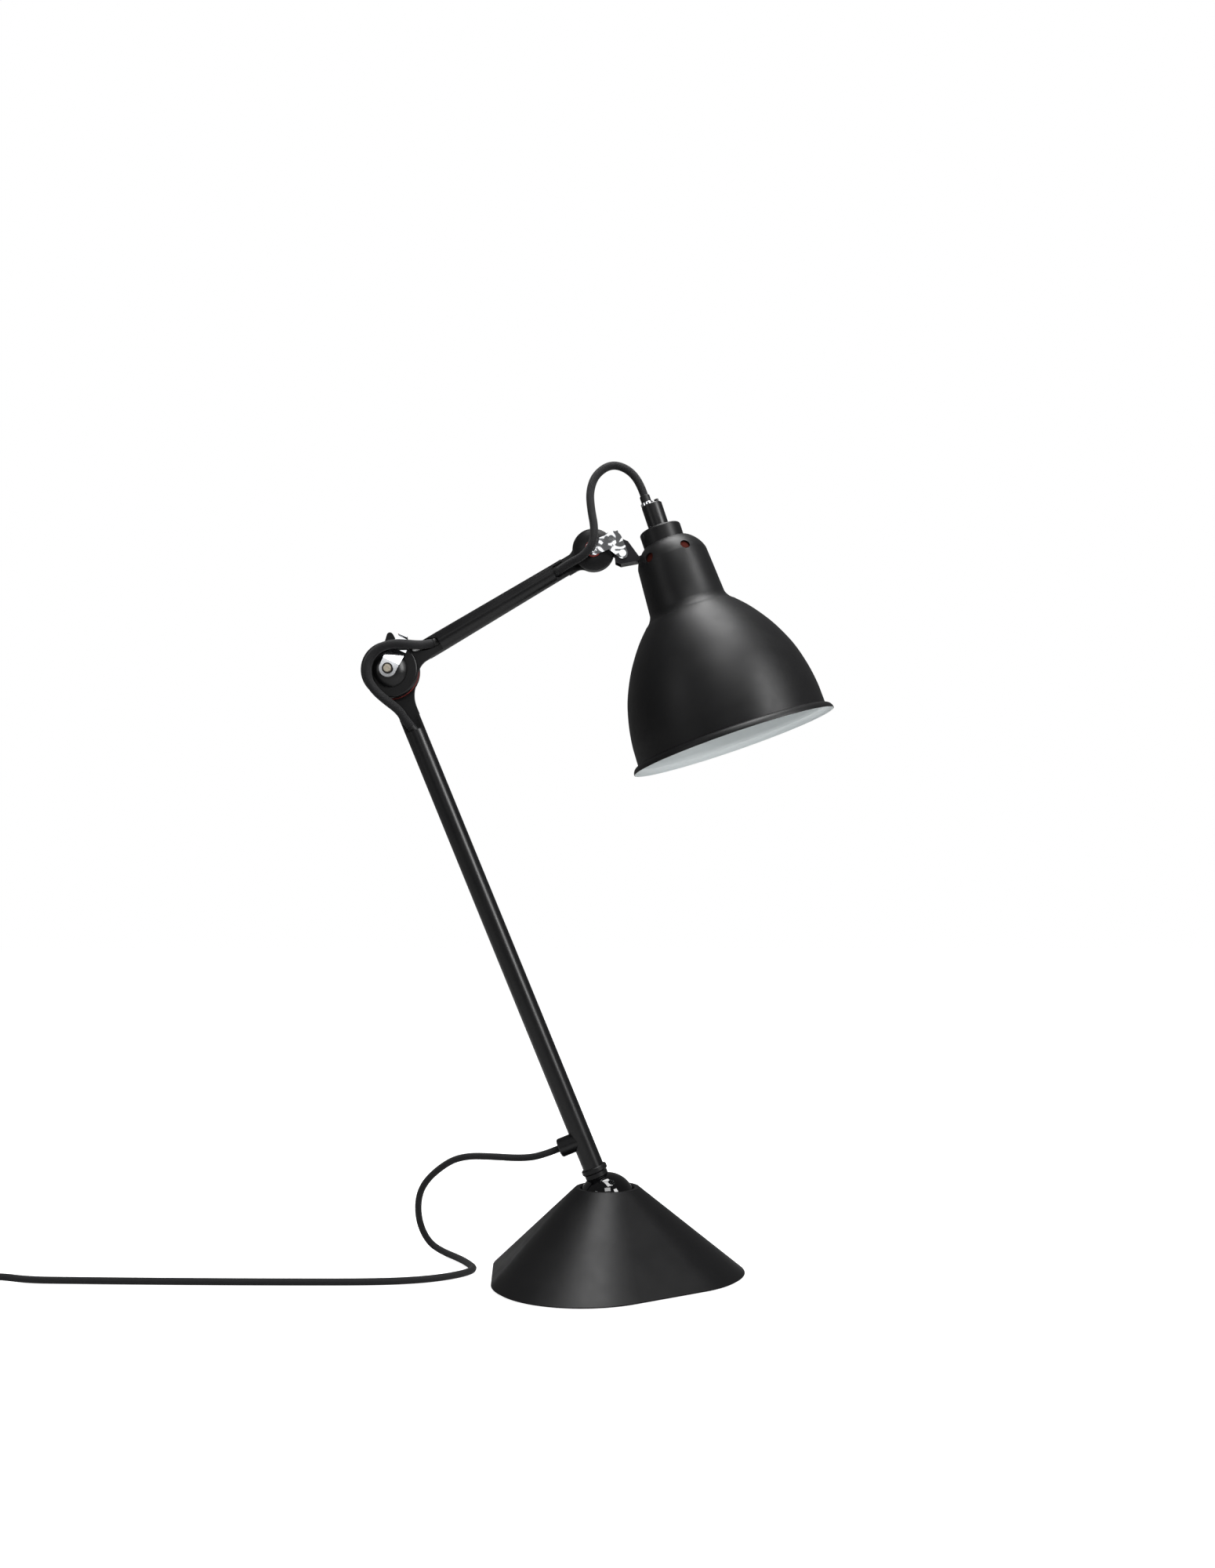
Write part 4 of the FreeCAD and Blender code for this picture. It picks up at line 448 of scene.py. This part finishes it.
def arcThrough(start, middle, end, steps):
    # points of the circle through three places, without the first
    a, b = middle - start, end - start
    d = 2 * (a.x * b.y - a.y * b.x)
    centre = start + Vector(((b.y * a.length_squared - a.y * b.length_squared) / d,
                             (a.x * b.length_squared - b.x * a.length_squared) / d))
    first = math.atan2(start.y - centre.y, start.x - centre.x)
    last = math.atan2(end.y - centre.y, end.x - centre.x)
    sweep = (last - first + math.pi) % (2 * math.pi) - math.pi
    radius = (start - centre).length
    return [centre + Vector((math.cos(first + sweep * k / steps), math.sin(first + sweep * k / steps))) * radius
            for k in range(1, steps + 1)]


shadeForm = {
    "wall": 1.0, "rounds": 160, "cordHole": 5.06, "top": 141.0, "sharpAngle": 32,
    "dome": [(65.8, 4.6), (65.55, 12), (65.2, 18.9), (63.9, 28.5), (61.9, 37.8), (59.1, 47.4),
             (55.2, 56.7), (50.2, 66.3), (44.1, 75.6), (38.1, 83.3), (31.6, 90.2)],
    "shoulder": [(27.8, 94.1), (26.3, 97.6)],
    "neck": [(25.6, 107.5), (24.9, 118.0), (24.1, 129.1)],
    "corner": (21.5, 134.9), "cornerShare": 0.7, "crown": 15.4,
    "lipOut": [(65.8, 4.6), (68.85, 3.25), (70.2, 0.0)],
    "lipUnder": [(69.85, -0.12), (69.45, -0.12)],
    "lipIn": [(69.2, 0.0), (68.1, 2.5), (65.4, 3.7)],
    "vents": {"count": 5, "step": 66.0, "radius": 3.25, "depth": 12, "rounds": 40,
              "reach": 17, "height": 128.4, "out": 0.8, "up": 0.42},
    "slot": {"low": (-30, -4.7, 134.1), "high": (-12, 4.7, 137.7)},
}


def shadeSide(inset):
    # (radius, height) up the shade's side, in millimetres
    form = shadeForm
    line = throughPoints([Vector((r - inset, h)) for r, h in form["dome"]], 4)
    bend, foot = [Vector((r - inset, h)) for r, h in form["shoulder"]]
    line += arcThrough(line[-1], bend, foot, 8)
    line += [Vector((r - inset, h)) for r, h in form["neck"]]
    shift = inset * form["cornerShare"]
    corner = Vector((form["corner"][0] - shift, form["corner"][1] - shift))
    line += arcThrough(line[-1], corner, Vector((form["crown"], form["top"] - inset)), 14)
    return line


def lathe(name, outline, rounds, materials, bands):
    # outline turned about Z; bands give the material of each stretch of the outline
    mesh = bmesh.new()
    rings = []
    for r, h in outline:
        if r < 1e-6:
            rings.append([mesh.verts.new((0, 0, h * mm))])
            continue
        rings.append([mesh.verts.new((r * mm * math.cos(2 * math.pi * k / rounds),
                                      r * mm * math.sin(2 * math.pi * k / rounds), h * mm)) for k in range(rounds)])
    for i, (low, high) in enumerate(zip(rings, rings[1:])):
        for k in range(rounds):
            corners = [low[k % len(low)], low[(k + 1) % len(low)], high[(k + 1) % len(high)], high[k % len(high)]]
            face = mesh.faces.new(list(dict.fromkeys(corners)))
            face.material_index = bands[i]
            face.smooth = True
    data = bpy.data.meshes.new(name)
    mesh.to_mesh(data)
    mesh.free()
    for material in materials:
        data.materials.append(material)
    made = bpy.data.objects.new(name, data)
    bpy.context.scene.collection.objects.link(made)
    return made


def cutWith(target, cutter):
    modifier = target.modifiers.new("cut", "BOOLEAN")
    modifier.operation = "DIFFERENCE"
    modifier.solver = "EXACT"
    modifier.material_mode = "TRANSFER"
    modifier.object = cutter
    dg = bpy.context.evaluated_depsgraph_get()
    data = bpy.data.meshes.new_from_object(target.evaluated_get(dg), preserve_all_data_layers=True, depsgraph=dg)
    target.modifiers.clear()
    target.data = data
    bpy.data.objects.remove(cutter)


def drill(radius, length, place, way, rounds, material):
    mesh = bmesh.new()
    bmesh.ops.create_cone(mesh, cap_ends=True, segments=rounds, radius1=radius * mm, radius2=radius * mm,
                          depth=length * mm)
    data = bpy.data.meshes.new("drill")
    mesh.to_mesh(data)
    mesh.free()
    data.materials.append(material)
    made = bpy.data.objects.new("drill", data)
    bpy.context.scene.collection.objects.link(made)
    turn = Vector(way).to_track_quat("Z", "Y").to_matrix().to_4x4()
    made.matrix_world = Matrix.Translation(Vector(place) * mm) @ turn
    bpy.context.view_layer.update()
    return made


def boxCutter(low, high, material):
    mesh = bmesh.new()
    bmesh.ops.create_cube(mesh, size=1.0)
    for v in mesh.verts:
        v.co = Vector([(low[i] if v.co[i] < 0 else high[i]) * mm for i in range(3)])
    data = bpy.data.meshes.new("boxCutter")
    mesh.to_mesh(data)
    mesh.free()
    data.materials.append(material)
    made = bpy.data.objects.new("boxCutter", data)
    bpy.context.scene.collection.objects.link(made)
    return made


def makeShade():
    form, vents = shadeForm, shadeForm["vents"]
    outside = shadeSide(0)
    inside = shadeSide(form["wall"])
    lipOut = arcThrough(*[Vector(p) for p in form["lipOut"]], 12)
    lipIn = arcThrough(*[Vector(p) for p in form["lipIn"]], 10)
    top = Vector((form["cordHole"], form["top"]))
    outline = [top, *reversed(outside), *lipOut, *[Vector(p) for p in form["lipUnder"]],
               Vector(form["lipIn"][0]), *lipIn]
    bands = [0] * (len(outline) - 1 - len(lipIn) - 2)  # black outside, white from the lip's underside inwards
    outline += [*inside, Vector((form["cordHole"], form["top"] - form["wall"])), top]
    bands += [1] * (len(outline) - 1 - len(bands))
    bands[-1] = 0
    shade = lathe("shadeSkin", outline, form["rounds"], [blackPaint, shadeInside], bands)
    for k in range(vents["count"]):
        angle = math.radians(vents["step"] * (k - (vents["count"] - 1) / 2))
        way = Vector((vents["out"] * math.cos(angle), vents["out"] * math.sin(angle), vents["up"])).normalized()
        start = Vector((vents["reach"] * math.cos(angle), vents["reach"] * math.sin(angle), vents["height"]))
        middle = start + way * (vents["depth"] / 2)
        cutWith(shade, drill(vents["radius"], vents["depth"], middle, way, vents["rounds"], blackPaint))
    cutWith(shade, boxCutter(form["slot"]["low"], form["slot"]["high"], blackPaint))
    shade.data.set_sharp_from_angle(angle=math.radians(form["sharpAngle"]))
    shade.data.transform(shadeMatrix())
    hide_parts("shade_shell")
    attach(shade, "head")
    print("shade", len(shade.data.polygons))


linerForm = {
    "outerInset": 1.35, "innerInset": 1.95, "low": 119, "high": 139.4, "rounds": 96, "sharpAngle": 40,
    "slot": {"low": (-30, -5.2, 133.6), "high": (-8, 5.2, 138.3)},
}


def makeLiner():
    # thin heat liner inside the neck, seen through the vents
    form = linerForm
    outer, inner = [[p for p in shadeSide(form[side]) if form["low"] < p.y < form["high"]]
                    for side in ("outerInset", "innerInset")]
    outline = [*outer, *reversed(inner), outer[0]]
    liner = lathe("ventLiner", outline, form["rounds"], [ventFibre], [0] * (len(outline) - 1))
    cutWith(liner, boxCutter(form["slot"]["low"], form["slot"]["high"], ventFibre))
    liner.data.set_sharp_from_angle(angle=math.radians(form["sharpAngle"]))
    liner.data.transform(shadeMatrix())
    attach(liner, "head")
    print("liner", len(liner.data.polygons))


makeShade()
makeLiner()


stage = {
    "side": 8.0, "drop": 0.0002, "floorGrey": 0.5, "floorRoughness": 0.9, "floorLift": 0.88,
    "whiteLevel": 1.0, "aroundLevel": 0.25, "mirroredLevel": 0.14,
    "boxes": {
        "keyBox": {"place": (1.0, -0.8, 0.95), "target": (0, 0, 0.35), "size": (0.4, 1.0), "power": 22},
        "fillBox": {"place": (-1.3, -0.9, 0.8), "target": (0, 0, 0.3), "size": (0.35, 1.0), "power": 3},
        "topBox": {"place": (0.06, -0.05, 1.45), "target": (0.03, 0, 0), "size": (0.5, 0.9), "power": 20},
        "mirrorBox": {"place": (-0.16, -1.4, 0.78), "target": (-0.08, 0, 0.45), "size": (0.5, 0.3), "power": 0.7},
        "frontBox": {"place": (0.08, -1.05, 1.62), "target": (-0.1, 0, 0.4), "size": (0.7, 0.5), "power": 10},
    },
}


def makeStage():
    side = stage["side"]
    data = bpy.data.meshes.new("floor")
    data.from_pydata([(-side, -side, 0), (side, -side, 0), (side, side, 0), (-side, side, 0)], [], [(0, 1, 2, 3)])
    floor = bpy.data.objects.new("floor", data)
    bpy.context.scene.collection.objects.link(floor)
    floor.location = (0, 0, -stage["drop"])
    material = bpy.data.materials.new("floorWhite")
    material.use_nodes = True
    tree = material.node_tree
    diffuse = tree.nodes["Principled BSDF"]
    diffuse.inputs["Base Color"].default_value = (*[stage["floorGrey"]] * 3, 1)
    diffuse.inputs["Roughness"].default_value = stage["floorRoughness"]
    rays = addNode(tree, "ShaderNodeLightPath")
    lift = addNode(tree, "ShaderNodeMath", {0: rays.outputs["Is Camera Ray"], 1: stage["floorLift"]},
                   operation="MULTIPLY")
    glow = addNode(tree, "ShaderNodeEmission", {"Color": (1, 1, 1, 1), "Strength": lift.outputs[0]})
    mixed = addNode(tree, "ShaderNodeAddShader", {0: diffuse.outputs[0], 1: glow.outputs[0]})
    tree.links.new(mixed.outputs[0], tree.nodes["Material Output"].inputs["Surface"])
    data.materials.append(material)
    world = bpy.data.worlds.new("studio")
    bpy.context.scene.world = world
    world.use_nodes = True
    tree = world.node_tree
    around = tree.nodes["Background"]
    around.inputs["Color"].default_value = (1, 1, 1, 1)
    around.inputs["Strength"].default_value = stage["aroundLevel"]
    rays = addNode(tree, "ShaderNodeLightPath")
    # white behind the lamp; metal and glass show a dimmer studio
    inMirror = addNode(tree, "ShaderNodeMath",
                       {0: rays.outputs["Is Glossy Ray"], 1: rays.outputs["Is Transmission Ray"]}, operation="MAXIMUM")
    mirrored = addNode(tree, "ShaderNodeBackground", {"Color": (1, 1, 1, 1), "Strength": stage["mirroredLevel"]})
    white = addNode(tree, "ShaderNodeBackground", {"Color": (1, 1, 1, 1), "Strength": stage["whiteLevel"]})
    surround = addNode(tree, "ShaderNodeMixShader",
                       {0: inMirror.outputs[0], 1: around.outputs[0], 2: mirrored.outputs[0]})
    mixed = addNode(tree, "ShaderNodeMixShader",
                    {0: rays.outputs["Is Camera Ray"], 1: surround.outputs[0], 2: white.outputs[0]})
    tree.links.new(mixed.outputs[0], tree.nodes["World Output"].inputs["Surface"])


def softBox(name, box):
    data = bpy.data.lights.new(name, "AREA")
    data.shape = "RECTANGLE"
    data.size, data.size_y = box["size"]
    data.energy = box["power"]
    light = bpy.data.objects.new(name, data)
    light.location = box["place"]
    light.rotation_euler = (Vector(box["target"]) - Vector(box["place"])).to_track_quat("-Z", "Y").to_euler()
    bpy.context.scene.collection.objects.link(light)


makeStage()
for name, box in stage["boxes"].items():
    softBox(name, box)
bpy.context.scene.view_settings.view_transform = "Standard"
print("stage done")
